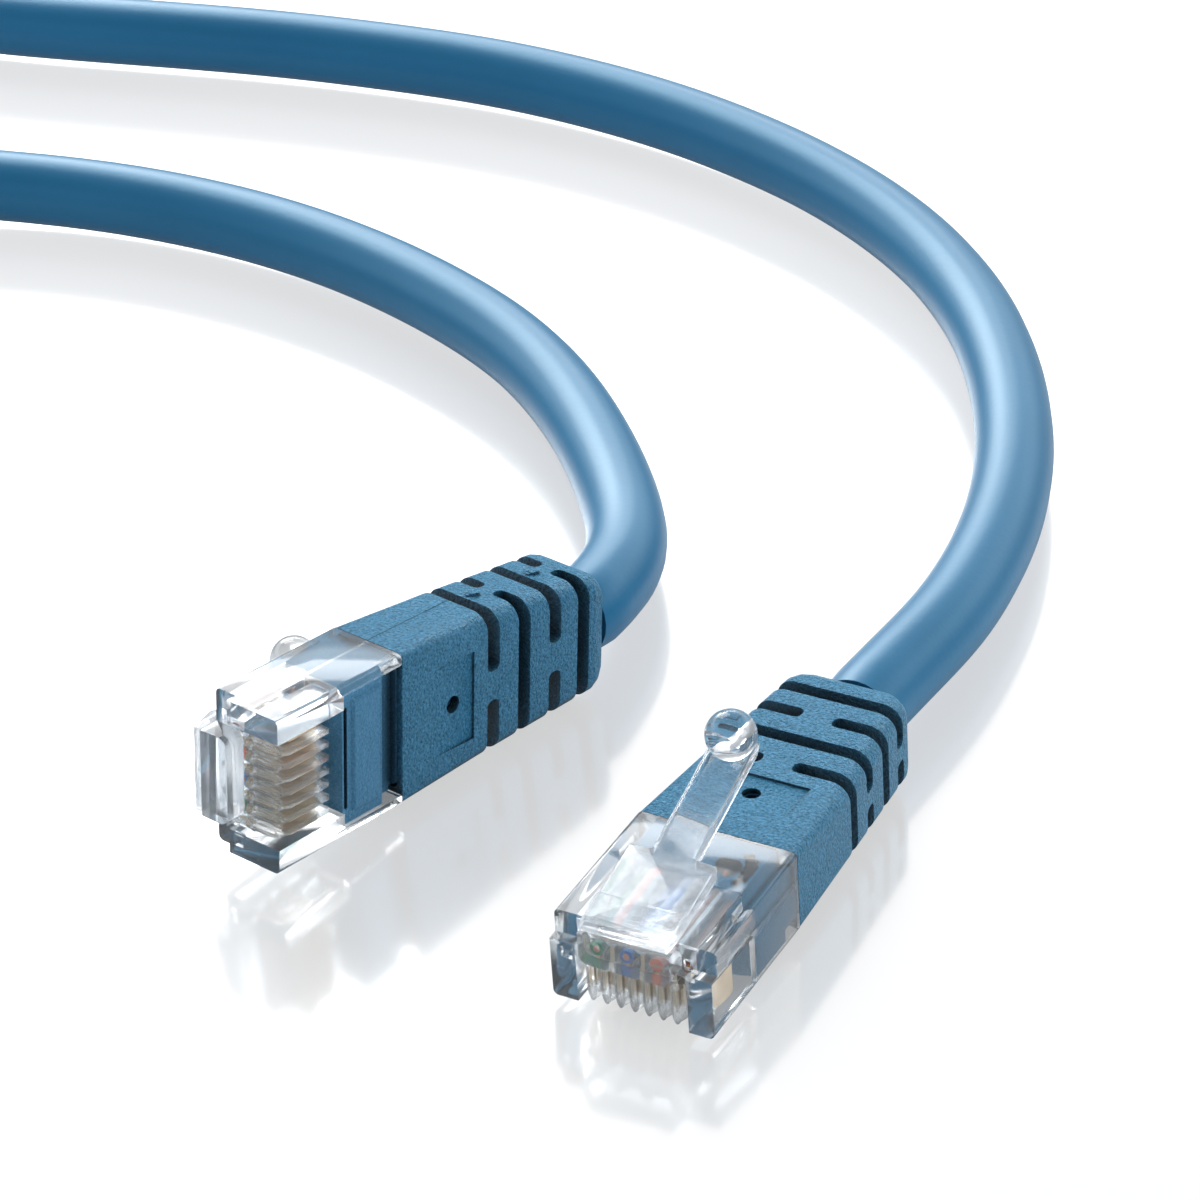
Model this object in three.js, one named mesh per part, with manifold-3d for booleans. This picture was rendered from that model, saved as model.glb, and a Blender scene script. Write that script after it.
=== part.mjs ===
import * as THREE from "three";
import { mergeVertices } from "three/addons/utils/BufferGeometryUtils.js";
import Module from "manifold-3d";

// Ethernet patch cable: two clear eight-contact plugs with moulded strain-relief boots on one round cord.
// Millimetres, +Z up, floor at z = 0. A plug is made in its own frame: +X out of the nose (nose at x = 0),
// +Z towards the latch (contact side at z = 0), +Y across the eight contacts. The boot, its pins and the jacket
// in it are made from the boot's front face (x = 0 there) and set behind the housing.

// Clear plug housing
const PLUG_WIDTH = 11.68;
const PLUG_HEIGHT = 6.35;
const HOUSING_LENGTH = 12.4;
const HOUSING_EDGE_RADIUS = 0.4;
const NOSE_STEP = 0.85;
const PRONG_TOP = 4.55;
const PRONG_INNER = 4.0;
const NOSE_PLATE_REACH = 0.8;
const NOSE_PLATE_HALF = 3.3;
const NOSE_PLATE_BOTTOM = 3.9;
const NOSE_PLATE_TOP = 6.3;
const NOSE_PLATE_RADIUS = 0.75;
const NOSE_NOTCH = { depth: 0.35, inner: 3.45, outer: 3.9, low: 4.35, high: 5.1 };
const PRONG_POCKET = { depth: 0.35, inner: 4.25, outer: 5.05, low: 3.3, high: 4.15 };
const FACE_CLEARANCE = 0.05;

// Contacts and the fins between them
const CONTACT_PITCH = 1.016;
const CONTACT_COUNT = 8;
const CONTACT_THICKNESS = 0.32;
const CONTACT_FRONT = -1.3;
const CONTACT_REAR = -4.6;
const CONTACT_EDGE = 0.55;
const FIN_REAR = -5.04;
const FIN_THICKNESS = 0.42;
const FIN_FRONT = -0.05;
const FIN_LEAF_REAR = -0.95;
const FIN_LEAF_WIDTH = 0.8;
const FIN_BOTTOM = 0.07;
const COMB_DEPTH = 3.0;

// Wires and the bar that holds their ends
const WIRE_DIAMETER = 0.9;
const WIRE_FRONT = -1.22;
const WIRE_END_GAP = 0.1;
const LOWER_ROW = 4.28;
const UPPER_ROW = 5.18;
const BUNDLE_PITCH = 1.0;
const BUNDLE_DROP = 0.15;
const BORE_CLEARANCE = 0.05;
const CAVITY_FRONT = -1.15;
const CAVITY_HALF = 4.3;
const CAVITY_BOTTOM = 3.5;
const CAVITY_TOP = 5.95;
const BAR_LENGTH = 6.2;
const BAR_CLEARANCE = 0.1;
const SLIT_CLEARANCE = 0.08;

// Inner mould that locks the housing to the boot
const WINDOW_FRONT = -6.5;
const WINDOW_HALF = 5.05;
const CORE_CLEARANCE = 0.1;
const CORE_FACE = 0.3;
const CORE_SLIT = [-7.1, -6.8];
const CORE_SLIT_HALF = 3.9;
const CORE_SLIT_DEPTH = 1.2;
const PAD_FRONT = -7.5;
const PAD_AHEAD = 2.0;
const PAD_HALF = 4.3;
const PAD_RISE = 0.22;
const CORE_STEP_AHEAD = 1.75;
const CORE_STEP_FACE = 1.2;
const TAIL_FRONT = -0.02;
const TAIL_REAR = -6.1;
const TAIL_HALF = 4.6;
const TAIL_LOW = 0.65;
const TAIL_HIGH = 5.45;
const POCKET_CLEARANCE = 0.15;

// Moulded boot: x, half width, low z, high z and corner radius of each section, rear to front
const BOOT_SECTIONS = [
  [-20.45, 3.5, -0.75, 4.9, 1.2],
  [-20.1, 4.05, -1.05, 5.2, 1.4],
  [-19.6, 4.45, -1.28, 5.43, 1.4],
  [-19.0, 4.67, -1.38, 5.56, 1.4],
  [-8.34, 5.61, -0.48, 6.02, 1.4],
  [-4.6, 5.72, -0.26, 6.16, 1.0],
  [0, PLUG_WIDTH / 2, 0, PLUG_HEIGHT - 0.01, 0.5],
];
const SLOT_FRONTS = [-8.34, -11.34, -14.37, -17.18];
const SLOT_WIDTH = 1.15;
const SLOT_END_RADIUS = 0.45;
const WIDE_BRIDGE_HALF = 1.15;
const SIDE_BRIDGE_HALF = 0.6;
const PANEL_FRONT = -2.8;
const PANEL_REAR = -7.0;
const PANEL_HALF = 3.4;
const PANEL_DEPTH = 0.17;
const PIN_HOLE_X = -5.0;
const PIN_HOLE_DIAMETER = 1.3;
const PIN_HOLE_DEPTH = 2.1;
const GATE_XS = [-10.3, -16.3];
const GATE_RADIUS = 0.65;
const GATE_RISE = 0.22;

// Jacket inside the boot
const RUN_DIAMETER = 4.4;
const RUN_CLEARANCE = 0.15;
const RUN_FRONT = [-7.6, 0, 2.72];
const RUN_REAR = [-20.45, 0, 2.03];
const RUN_BORE_START = 0.15;

// Latch lever
const LEVER_HALF = 3.2;
const STRAP_HALF = 1.55;
const BALL_DIAMETER = 3.5;
const BALL_CENTRE = [-15.0, 0, 12.35];
const LEVER_OUTLINE = [
  [0.75, 6.48],
  [0.75, 6.85],
  [0.55, 7.15],
  [0.2, 7.3],
  [-1.85, 7.83],
  [-2.1, 7.58],
  [-6.46, 8.58],
  [-6.46, 7.48],
  [-2.0, 6.68],
  [-1.3, 6.52],
  [-0.75, 6.48],
];
const STRAP_OUTLINE = [
  [-5.6, 8.3],
  [-6.46, 8.58],
  [-7.0, 8.79],
  [-15.4, 11.6],
  [-16.1, 11.5],
  [-16.2, 11.1],
  [-15.6, 10.6],
  [-6.46, 7.52],
  [-5.6, 7.4],
];

// Where the plugs lie: middle of the cord's exit, heading, pitch (nose up) and roll in degrees
const PLUG_A = { exit: [16.35, 15.4244, 3.4781], heading: -90, pitch: -2.53, roll: 0, gateSide: -1 };
const PLUG_B = { exit: [-6.9889, 17.6498, 4.5369], heading: -100.964, pitch: 5, roll: 90, gateSide: 1 };

// Cord
const CORD_DIAMETER = 6.0;
const CORD_REST = 3.02;
const CORD_SIDES = 10;
const STRETCH_A_STEPS = 40;
const STRETCH_B_STEPS = 40;
const JOIN_GAP = 0.3;

// Coil that puts away the spare length
const COIL_CENTRE = [-173.08, 49.19];
const COIL_RADIUS = 39.5;
const COIL_PITCH = 6.55;
const COIL_START = 96;
const COIL_SWEEP = 945;
const COIL_LAYER = 6.5;
const COIL_BULGE = 1.2;
const COIL_STEP = 15;
const COIL_SIDES = 6;

// Tie round the coil
const TIE_ANGLE = 200;
const TIE_WIDTH = 9;
const TIE_THICKNESS = 0.75;
const TIE_CLEARANCE = 0.4;
const TIE_TAB = [8, 0.8];
const TIE_LIFT = TIE_THICKNESS + TIE_CLEARANCE;
const TIE_LIFT_SPAN = [16, 60];

const STRETCH_A_ROUTE = [
  [16.4, 15.7, 3.5],
  [16.4, 19.4, 3.6],
  [16.4, 23.4, 3.55],
  [16.9, 27.4, 3.3],
  [16.2, 35.7, 3.08],
  [14.5, 44.7, CORD_REST],
  [11.2, 54.4, CORD_REST],
  [6.2, 64.1, CORD_REST],
  [0.0, 73.0, CORD_REST],
  [-7.1, 80.3, CORD_REST],
  [-14.5, 85.8, CORD_REST],
  [-22.0, 90.0, CORD_REST],
  [-29.4, 92.9, CORD_REST],
  [-36.9, 95.2, CORD_REST],
  [-44.1, 96.6, CORD_REST],
  [-51.3, 97.3, CORD_REST],
  [-58.3, 97.5, CORD_REST],
  [-65.1, 96.9, CORD_REST],
  [-78.4, 95.0, CORD_REST],
  [-91.6, 91.9, CORD_REST],
  [-104.8, 88.7, CORD_REST],
  [-117.5, 87.1, CORD_REST],
  [-130.0, 87.3, CORD_REST],
  [-142.0, 88.5, CORD_REST],
  [-154.0, 89.6, CORD_REST],
];
const STRETCH_B_ROUTE = [
  [-6.9, 17.9, 4.51],
  [-6.6, 19.4, 4.38],
  [-6.4, 21.9, 4.15],
  [-6.7, 25.1, 3.85],
  [-7.8, 28.6, 3.55],
  [-9.8, 31.8, 3.3],
  [-12.7, 35.7, 3.1],
  [-16.4, 40.3, CORD_REST],
  [-20.9, 45.1, CORD_REST],
  [-26.5, 50.1, CORD_REST],
  [-32.4, 54.1, CORD_REST],
  [-38.5, 57.1, CORD_REST],
  [-44.4, 59.4, CORD_REST],
  [-50.2, 61.2, CORD_REST],
  [-56.1, 62.4, CORD_REST],
  [-61.8, 63.1, CORD_REST],
  [-67.2, 63.3, CORD_REST],
  [-72.5, 63.1, CORD_REST],
  [-79.5, 62.2, CORD_REST],
  [-86.5, 60.4, 3.1],
  [-94.0, 57.8, 3.4],
  [-103.0, 53.6, 4.5],
  [-112.0, 48.4, 6.5],
  [-121.0, 42.8, 8.5],
  [-129.0, 37.3, 9.42],
];

const wasm = await Module();
wasm.setup();

// Solids
function solidOf(geometry) {
  const flat = geometry.index ? geometry.toNonIndexed() : geometry;
  const bare = new THREE.BufferGeometry().setAttribute("position", flat.getAttribute("position"));
  const merged = mergeVertices(bare, 1e-4);
  return new wasm.Manifold(
    new wasm.Mesh({
      numProp: 3,
      vertProperties: new Float32Array(merged.attributes.position.array),
      triVerts: new Uint32Array(merged.index.array),
    }),
  );
}

function geometryOf(solid) {
  const mesh = solid.getMesh();
  const geometry = new THREE.BufferGeometry();
  geometry.setAttribute("position", new THREE.BufferAttribute(new Float32Array(mesh.vertProperties), 3));
  geometry.setIndex(new THREE.BufferAttribute(new Uint32Array(mesh.triVerts), 1));
  const flat = geometry.toNonIndexed();
  flat.computeVertexNormals();
  return flat;
}

function box(x0, x1, y0, y1, z0, z1) {
  const geometry = new THREE.BoxGeometry(x1 - x0, y1 - y0, z1 - z0);
  geometry.translate((x0 + x1) / 2, (y0 + y1) / 2, (z0 + z1) / 2);
  return solidOf(geometry);
}

function outlineShape(points) {
  return new THREE.Shape(points.map(([u, v]) => new THREE.Vector2(u, v)));
}

function roundedShape(u0, u1, v0, v1, radius) {
  const shape = new THREE.Shape();
  shape.moveTo(u0 + radius, v0);
  shape.lineTo(u1 - radius, v0);
  shape.absarc(u1 - radius, v0 + radius, radius, -Math.PI / 2, 0, false);
  shape.lineTo(u1, v1 - radius);
  shape.absarc(u1 - radius, v1 - radius, radius, 0, Math.PI / 2, false);
  shape.lineTo(u0 + radius, v1);
  shape.absarc(u0 + radius, v1 - radius, radius, Math.PI / 2, Math.PI, false);
  shape.lineTo(u0, v0 + radius);
  shape.absarc(u0 + radius, v0 + radius, radius, Math.PI, Math.PI * 1.5, false);
  return shape;
}

// A shape in (y, z), drawn out along x.
function alongX(shape, x0, x1) {
  const geometry = new THREE.ExtrudeGeometry(shape, { depth: x1 - x0, bevelEnabled: false, curveSegments: 4 });
  const turn = new THREE.Matrix4().makeBasis(
    new THREE.Vector3(0, 1, 0),
    new THREE.Vector3(0, 0, 1),
    new THREE.Vector3(1, 0, 0),
  );
  geometry.applyMatrix4(turn).translate(x0, 0, 0);
  return solidOf(geometry);
}

// A shape in (x, z), drawn out along y.
function alongY(shape, y0, y1) {
  const geometry = new THREE.ExtrudeGeometry(shape, { depth: y1 - y0, bevelEnabled: false, curveSegments: 4 });
  const turn = new THREE.Matrix4().makeBasis(
    new THREE.Vector3(1, 0, 0),
    new THREE.Vector3(0, 0, 1),
    new THREE.Vector3(0, -1, 0),
  );
  geometry.applyMatrix4(turn).translate(0, y1, 0);
  return solidOf(geometry);
}

// A shape in (x, y), drawn out along z.
function alongZ(shape, z0, z1) {
  const geometry = new THREE.ExtrudeGeometry(shape, { depth: z1 - z0, bevelEnabled: false, curveSegments: 4 });
  geometry.translate(0, 0, z0);
  return solidOf(geometry);
}

function circleShape(radius, sides) {
  const points = [];
  for (let i = 0; i < sides; i++) {
    const a = (2 * Math.PI * i) / sides;
    points.push([radius * Math.cos(a), radius * Math.sin(a)]);
  }
  return outlineShape(points);
}

function tubeGeometry(points, diameter, sides, steps) {
  const vectors = points.map((p) => new THREE.Vector3(...p));
  const path =
    vectors.length === 2
      ? new THREE.LineCurve3(vectors[0], vectors[1])
      : new THREE.CatmullRomCurve3(vectors, false, "centripetal");
  return new THREE.ExtrudeGeometry(circleShape(diameter / 2, sides), {
    steps,
    bevelEnabled: false,
    extrudePath: path,
  });
}

// A closed skin over rings of equal count, each running round its own direction of travel.
function loftGeometry(rings) {
  const count = rings[0].length;
  const positions = rings.flat().flatMap((p) => [p.x, p.y, p.z]);
  const index = [];
  for (let k = 0; k + 1 < rings.length; k++) {
    for (let i = 0; i < count; i++) {
      const a = k * count + i;
      const b = k * count + ((i + 1) % count);
      index.push(a, b, b + count, a, b + count, a + count);
    }
  }
  const last = (rings.length - 1) * count;
  for (let i = 1; i + 1 < count; i++) {
    index.push(0, i + 1, i);
    index.push(last, last + i, last + i + 1);
  }
  const geometry = new THREE.BufferGeometry();
  geometry.setAttribute("position", new THREE.Float32BufferAttribute(positions, 3));
  geometry.setIndex(index);
  const flat = geometry.toNonIndexed();
  flat.computeVertexNormals();
  return flat;
}

const contactY = (pin) => (pin - (CONTACT_COUNT - 1) / 2) * CONTACT_PITCH;
const isLowerRow = (pin) => pin % 2 === 1;
const wireRow = (pin) => (isLowerRow(pin) ? LOWER_ROW : UPPER_ROW);
const pins = [...Array(CONTACT_COUNT).keys()];

// Nose plate in (y, z): its two lower corners are rounded
function nosePlateShape() {
  const r = NOSE_PLATE_RADIUS;
  const shape = new THREE.Shape();
  shape.moveTo(-NOSE_PLATE_HALF, NOSE_PLATE_TOP);
  shape.lineTo(-NOSE_PLATE_HALF, NOSE_PLATE_BOTTOM + r);
  shape.absarc(r - NOSE_PLATE_HALF, NOSE_PLATE_BOTTOM + r, r, Math.PI, Math.PI * 1.5, false);
  shape.lineTo(NOSE_PLATE_HALF - r, NOSE_PLATE_BOTTOM);
  shape.absarc(NOSE_PLATE_HALF - r, NOSE_PLATE_BOTTOM + r, r, -Math.PI / 2, 0, false);
  shape.lineTo(NOSE_PLATE_HALF, NOSE_PLATE_TOP);
  return shape;
}

// A small pocket in the nose, from a face at x back by its depth
function nosePocket({ depth, inner, outer, low, high }, x) {
  return box(x - depth, x + 2, inner, outer, low, high);
}

// Clear housing
function housing() {
  const half = PLUG_WIDTH / 2;
  const rear = -HOUSING_LENGTH + FACE_CLEARANCE;
  const fin = outlineShape([
    [FIN_REAR, FIN_BOTTOM],
    [FIN_FRONT - 1.1, FIN_BOTTOM],
    [FIN_FRONT - 0.45, FIN_BOTTOM + 0.25],
    [FIN_FRONT - 0.1, FIN_BOTTOM + 0.75],
    [FIN_FRONT, FIN_BOTTOM + 1.4],
    [FIN_FRONT, COMB_DEPTH + 0.05],
    [FIN_REAR, COMB_DEPTH + 0.05],
  ]);
  const leafHalf = FIN_LEAF_WIDTH / 2;
  const leaf = outlineShape([
    [-leafHalf, COMB_DEPTH + 0.05],
    [-leafHalf * 0.95, 2.0],
    [-leafHalf * 0.75, 1.1],
    [-leafHalf * 0.4, 0.42],
    [0, FIN_BOTTOM + 0.1],
    [leafHalf * 0.4, 0.42],
    [leafHalf * 0.75, 1.1],
    [leafHalf * 0.95, 2.0],
    [leafHalf, COMB_DEPTH + 0.05],
  ]);
  let body = alongX(roundedShape(-half, half, 0, PLUG_HEIGHT, HOUSING_EDGE_RADIUS), rear, 0)
    .subtract(box(-NOSE_STEP, 1, -half - 1, half + 1, PRONG_TOP, PLUG_HEIGHT + 1))
    .subtract(box(-NOSE_STEP, 1, -PRONG_INNER, PRONG_INNER, -1, PRONG_TOP + 1))
    .subtract(box(WINDOW_FRONT - 0.1, 1, -PRONG_INNER, PRONG_INNER, -1, COMB_DEPTH))
    .subtract(box(rear - 1, CAVITY_FRONT, -CAVITY_HALF, CAVITY_HALF, CAVITY_BOTTOM, CAVITY_TOP))
    .subtract(box(rear - 1, WINDOW_FRONT, -WINDOW_HALF, WINDOW_HALF, -1, CAVITY_BOTTOM + 0.05))
    .add(alongX(nosePlateShape(), -NOSE_STEP - 0.05, NOSE_PLATE_REACH));
  for (let i = 0; i + 1 < CONTACT_COUNT; i++) {
    const y = contactY(i) + CONTACT_PITCH / 2;
    body = body
      .add(alongY(fin, y - FIN_THICKNESS / 2, y + FIN_THICKNESS / 2))
      .add(alongX(leaf, FIN_LEAF_REAR, FIN_FRONT - 0.2).translate([0, y, 0]));
  }
  const slitHalf = CONTACT_THICKNESS / 2 + SLIT_CLEARANCE;
  for (const pin of pins) {
    const y = contactY(pin);
    const slit = box(
      CONTACT_REAR - SLIT_CLEARANCE,
      CONTACT_FRONT + SLIT_CLEARANCE,
      y - slitHalf,
      y + slitHalf,
      COMB_DEPTH - 0.1,
      CAVITY_BOTTOM + 0.1,
    );
    body = body.subtract(slit);
  }
  // moulding notches beside the nose plate and the small pocket in one prong
  const notch = nosePocket(NOSE_NOTCH, -NOSE_STEP);
  return body
    .subtract(notch)
    .subtract(notch.mirror([0, 1, 0]))
    .subtract(nosePocket(PRONG_POCKET, 0).mirror([0, 1, 0]));
}

// One spring contact: a blade with three teeth that reach into its wire
function contact(pin) {
  const tip = wireRow(pin) - 0.05;
  const points = [
    [CONTACT_REAR, CONTACT_EDGE + 0.25],
    [CONTACT_REAR + 0.25, CONTACT_EDGE],
    [CONTACT_FRONT - 0.45, CONTACT_EDGE],
    [CONTACT_FRONT, CONTACT_EDGE + 0.45],
  ];
  const toothWidth = 0.5;
  const shoulder = CAVITY_BOTTOM - 0.1;
  const spacing = (CONTACT_FRONT - CONTACT_REAR - toothWidth) / 2;
  for (let tooth = 0; tooth < 3; tooth++) {
    const front = CONTACT_FRONT - tooth * spacing;
    points.push([front, shoulder], [front - 0.1, tip], [front - toothWidth + 0.1, tip]);
    points.push([front - toothWidth, shoulder]);
  }
  const y = contactY(pin);
  return alongY(outlineShape(points), y - CONTACT_THICKNESS / 2, y + CONTACT_THICKNESS / 2);
}

// One insulated wire: straight in the bar, then drawn in to the bundle behind it
function wire(pin) {
  const y = contactY(pin);
  const z = wireRow(pin);
  const column = (pin - (isLowerRow(pin) ? 1 : 0)) / 2;
  const bundleY = (column - 1.5) * BUNDLE_PITCH;
  const barRear = CAVITY_FRONT - BAR_CLEARANCE - BAR_LENGTH;
  const end = -HOUSING_LENGTH + WIRE_END_GAP;
  const straight = tubeGeometry([[barRear - 0.2, y, z], [WIRE_FRONT, y, z]], WIRE_DIAMETER, 8, 1);
  const drawn = tubeGeometry(
    [
      [barRear - 0.1, y, z],
      [barRear - 0.8, y, z],
      [end + 1.2, bundleY, z - BUNDLE_DROP],
      [end, bundleY, z - BUNDLE_DROP],
    ],
    WIRE_DIAMETER,
    8,
    6,
  );
  const halfNotch = CONTACT_THICKNESS / 2 + SLIT_CLEARANCE / 2;
  const notch = box(
    CONTACT_REAR - SLIT_CLEARANCE,
    CONTACT_FRONT + SLIT_CLEARANCE,
    y - halfNotch,
    y + halfNotch,
    z - WIRE_DIAMETER,
    z,
  );
  return solidOf(straight).add(solidOf(drawn)).subtract(notch);
}

// Clear bar that holds the wire ends in two staggered rows
function loadBar() {
  const front = CAVITY_FRONT - BAR_CLEARANCE / 2;
  const rear = front - BAR_LENGTH;
  const half = CAVITY_HALF - BAR_CLEARANCE;
  let bar = box(rear, front, -half, half, CAVITY_BOTTOM + BAR_CLEARANCE, CAVITY_TOP - BAR_CLEARANCE);
  const slitHalf = CONTACT_THICKNESS / 2 + SLIT_CLEARANCE;
  for (const pin of pins) {
    const y = contactY(pin);
    const z = wireRow(pin);
    const bore = tubeGeometry([[rear - 1, y, z], [front + 1, y, z]], WIRE_DIAMETER + 2 * BORE_CLEARANCE, 10, 1);
    bar = bar
      .subtract(solidOf(bore))
      .subtract(box(CONTACT_REAR - 0.1, CONTACT_FRONT + 0.1, y - slitHalf, y + slitHalf, CAVITY_BOTTOM, z));
  }
  return bar;
}

// From the boot's own frame to the plug's
const behindHousing = (solid) => solid.translate([-HOUSING_LENGTH, 0, 0]);

// Round hole for the mould pin, through both wide faces
function pinHoles() {
  const middle = PLUG_HEIGHT / 2;
  const from = (side) => middle + side * (middle - PIN_HOLE_DEPTH);
  const round = circleShape(PIN_HOLE_DIAMETER / 2, 16);
  const upper = alongZ(round, from(1), PLUG_HEIGHT + 1).translate([PIN_HOLE_X, 0, 0]);
  const lower = alongZ(round, -1, from(-1)).translate([PIN_HOLE_X, 0, 0]);
  return upper.add(lower);
}

// Inner mould: shows in the housing's window and runs back into the boot
function innerMould() {
  const half = WINDOW_HALF - CORE_CLEARANCE;
  const front = WINDOW_FRONT - CORE_CLEARANCE;
  const top = CAVITY_BOTTOM - 0.2;
  const stepRear = CORE_STEP_AHEAD - HOUSING_LENGTH;
  const padRear = PAD_AHEAD - HOUSING_LENGTH;
  const pad = new THREE.ExtrudeGeometry(outlineShape([
    [padRear, -PAD_HALF],
    [PAD_FRONT, -PAD_HALF],
    [PAD_FRONT, PAD_HALF],
    [padRear, PAD_HALF],
  ]), { depth: 0.3, bevelThickness: PAD_RISE, bevelSize: PAD_RISE, bevelOffset: -PAD_RISE, bevelSegments: 1 });
  pad.translate(0, 0, CORE_FACE);
  const tail = alongX(roundedShape(-TAIL_HALF, TAIL_HALF, TAIL_LOW, TAIL_HIGH, 0.5), TAIL_REAR, TAIL_FRONT)
    .add(box(TAIL_FRONT - 0.1, CORE_STEP_AHEAD + 0.1, -half + 0.3, half - 0.3, CORE_STEP_FACE, top))
    .subtract(pinHoles());
  return box(stepRear, front, -half, half, CORE_FACE, top)
    .subtract(box(CORE_SLIT[0], CORE_SLIT[1], -CORE_SLIT_HALF, CORE_SLIT_HALF, -1, CORE_SLIT_DEPTH))
    .add(solidOf(pad))
    .add(behindHousing(tail));
}

// Width and height of the boot at x
function bootSection(x) {
  let k = 0;
  while (k + 2 < BOOT_SECTIONS.length && BOOT_SECTIONS[k + 1][0] < x) k++;
  const from = BOOT_SECTIONS[k];
  const to = BOOT_SECTIONS[k + 1];
  const t = (x - from[0]) / (to[0] - from[0]);
  return from.map((value, i) => value + t * (to[i] - value));
}

function bootRing([x, half, low, high, radius]) {
  const corners = [
    [half - radius, high - radius, 0],
    [radius - half, high - radius, 1],
    [radius - half, low + radius, 2],
    [half - radius, low + radius, 3],
  ];
  const segments = 4;
  return corners.flatMap(([y, z, quarter]) =>
    [...Array(segments + 1).keys()].map((i) => {
      const a = ((quarter + i / segments) * Math.PI) / 2;
      return new THREE.Vector3(x, y + radius * Math.cos(a), z + radius * Math.sin(a));
    }),
  );
}

// Alternating slots let the boot bend: the odd ones leave bridges on the wide faces, the even ones on the sides
function bootSlots(index) {
  const front = SLOT_FRONTS[index];
  const rear = front - SLOT_WIDTH;
  const [, , low, high] = bootSection((front + rear) / 2);
  const middle = (low + high) / 2;
  const reach = 9;
  if (index % 2 === 0) {
    const side = alongZ(roundedShape(rear, front, WIDE_BRIDGE_HALF, reach, SLOT_END_RADIUS), -reach, reach);
    return side.add(side.mirror([0, 1, 0]));
  }
  const from = middle + SIDE_BRIDGE_HALF;
  const to = middle - SIDE_BRIDGE_HALF;
  return alongY(roundedShape(rear, front, from, from + reach, SLOT_END_RADIUS), -reach, reach).add(
    alongY(roundedShape(rear, front, to - reach, to, SLOT_END_RADIUS), -reach, reach),
  );
}

// Shallow panel on a wide face: level with the face at its front, sunk at its rear
function bootPanel(side) {
  const [, , lowFront, highFront] = bootSection(PANEL_FRONT);
  const [, , lowRear, highRear] = bootSection(PANEL_REAR);
  const face = side > 0 ? [highFront, highRear] : [lowFront, lowRear];
  const out = side * 2;
  const points = [
    [PANEL_FRONT, face[0]],
    [PANEL_REAR, face[1] - side * PANEL_DEPTH],
    [PANEL_REAR, face[1] + out],
    [PANEL_FRONT, face[0] + out],
  ];
  return alongY(outlineShape(side > 0 ? points : points.reverse()), -PANEL_HALF, PANEL_HALF);
}

function boot(gateSide) {
  const c = POCKET_CLEARANCE;
  const pocket = alongX(
    roundedShape(-TAIL_HALF - c, TAIL_HALF + c, TAIL_LOW - c, TAIL_HIGH + c, 0.5),
    TAIL_REAR - c,
    1,
  );
  const rise = (RUN_REAR[2] - RUN_FRONT[2]) / (RUN_REAR[0] - RUN_FRONT[0]);
  const boreAt = (x) => [x, 0, RUN_FRONT[2] + (x - RUN_FRONT[0]) * rise];
  const bore = tubeGeometry(
    [boreAt(RUN_REAR[0] - 1), boreAt(RUN_FRONT[0] + RUN_BORE_START)],
    RUN_DIAMETER + 2 * RUN_CLEARANCE,
    16,
    1,
  );
  let body = solidOf(loftGeometry(BOOT_SECTIONS.map(bootRing)))
    .subtract(pocket)
    .subtract(solidOf(bore))
    .subtract(pinHoles())
    .subtract(bootPanel(1))
    .subtract(bootPanel(-1));
  SLOT_FRONTS.forEach((_, index) => {
    body = body.subtract(bootSlots(index));
  });
  for (const x of GATE_XS) {
    const [, half, low, high] = bootSection(x);
    const gate = new THREE.CylinderGeometry(GATE_RADIUS * 0.7, GATE_RADIUS, 1, 8);
    if (gateSide < 0) gate.rotateX(Math.PI);
    gate.translate(x, gateSide * (half + GATE_RISE - 0.5), (low + high) / 2);
    body = body.add(solidOf(gate));
  }
  return behindHousing(body);
}

function jacketRun() {
  return behindHousing(solidOf(tubeGeometry([RUN_REAR, RUN_FRONT], RUN_DIAMETER, 14, 1)));
}

function latchLever() {
  const ball = new THREE.SphereGeometry(BALL_DIAMETER / 2, 18, 10);
  ball.translate(...BALL_CENTRE);
  return alongY(outlineShape(LEVER_OUTLINE), -LEVER_HALF, LEVER_HALF)
    .add(alongY(outlineShape(STRAP_OUTLINE), -STRAP_HALF, STRAP_HALF))
    .add(solidOf(ball));
}

// Materials
const paint = (color, roughness, metalness = 0) => () =>
  new THREE.MeshStandardMaterial({ color, roughness, metalness });
const clear = () =>
  new THREE.MeshStandardMaterial({ color: 0xe6eef2, roughness: 0.08, transparent: true, opacity: 0.35 });
const jacket = paint(0x4f8fb4, 0.5);
const bootBlue = paint(0x447fa2, 0.75);
const mouldBlue = paint(0x3d6f90, 0.7);
const gold = paint(0xc9a25a, 0.3, 1);
const tieBlack = paint(0x24272b, 0.85);
const WIRE_NAMES = [
  "white_green",
  "green",
  "white_orange",
  "blue",
  "white_blue",
  "orange",
  "white_brown",
  "brown",
];
const WIRE_COLOURS = {
  white_green: 0xcfe3d3,
  green: 0x3f9460,
  white_orange: 0xf1d9c6,
  blue: 0x2f6fb0,
  white_blue: 0xcfdcec,
  orange: 0xe0662f,
  white_brown: 0xe0d3c8,
  brown: 0x7a4a35,
};

const root = new THREE.Group();
root.name = "ethernet_patch_cable";

function piece(name, geometry, material) {
  const mesh = new THREE.Mesh(geometry, material());
  mesh.name = name;
  root.add(mesh);
  return mesh;
}

function placementOf({ exit, heading, pitch, roll }) {
  const radians = THREE.MathUtils.degToRad;
  const turn = new THREE.Matrix4()
    .makeRotationZ(radians(heading))
    .multiply(new THREE.Matrix4().makeRotationY(-radians(pitch)))
    .multiply(new THREE.Matrix4().makeRotationX(radians(roll)));
  const [runX, runY, runZ] = RUN_REAR;
  const toExit = new THREE.Vector3(runX - HOUSING_LENGTH, runY, runZ).applyMatrix4(turn);
  return turn.setPosition(new THREE.Vector3(...exit).sub(toExit));
}

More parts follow.
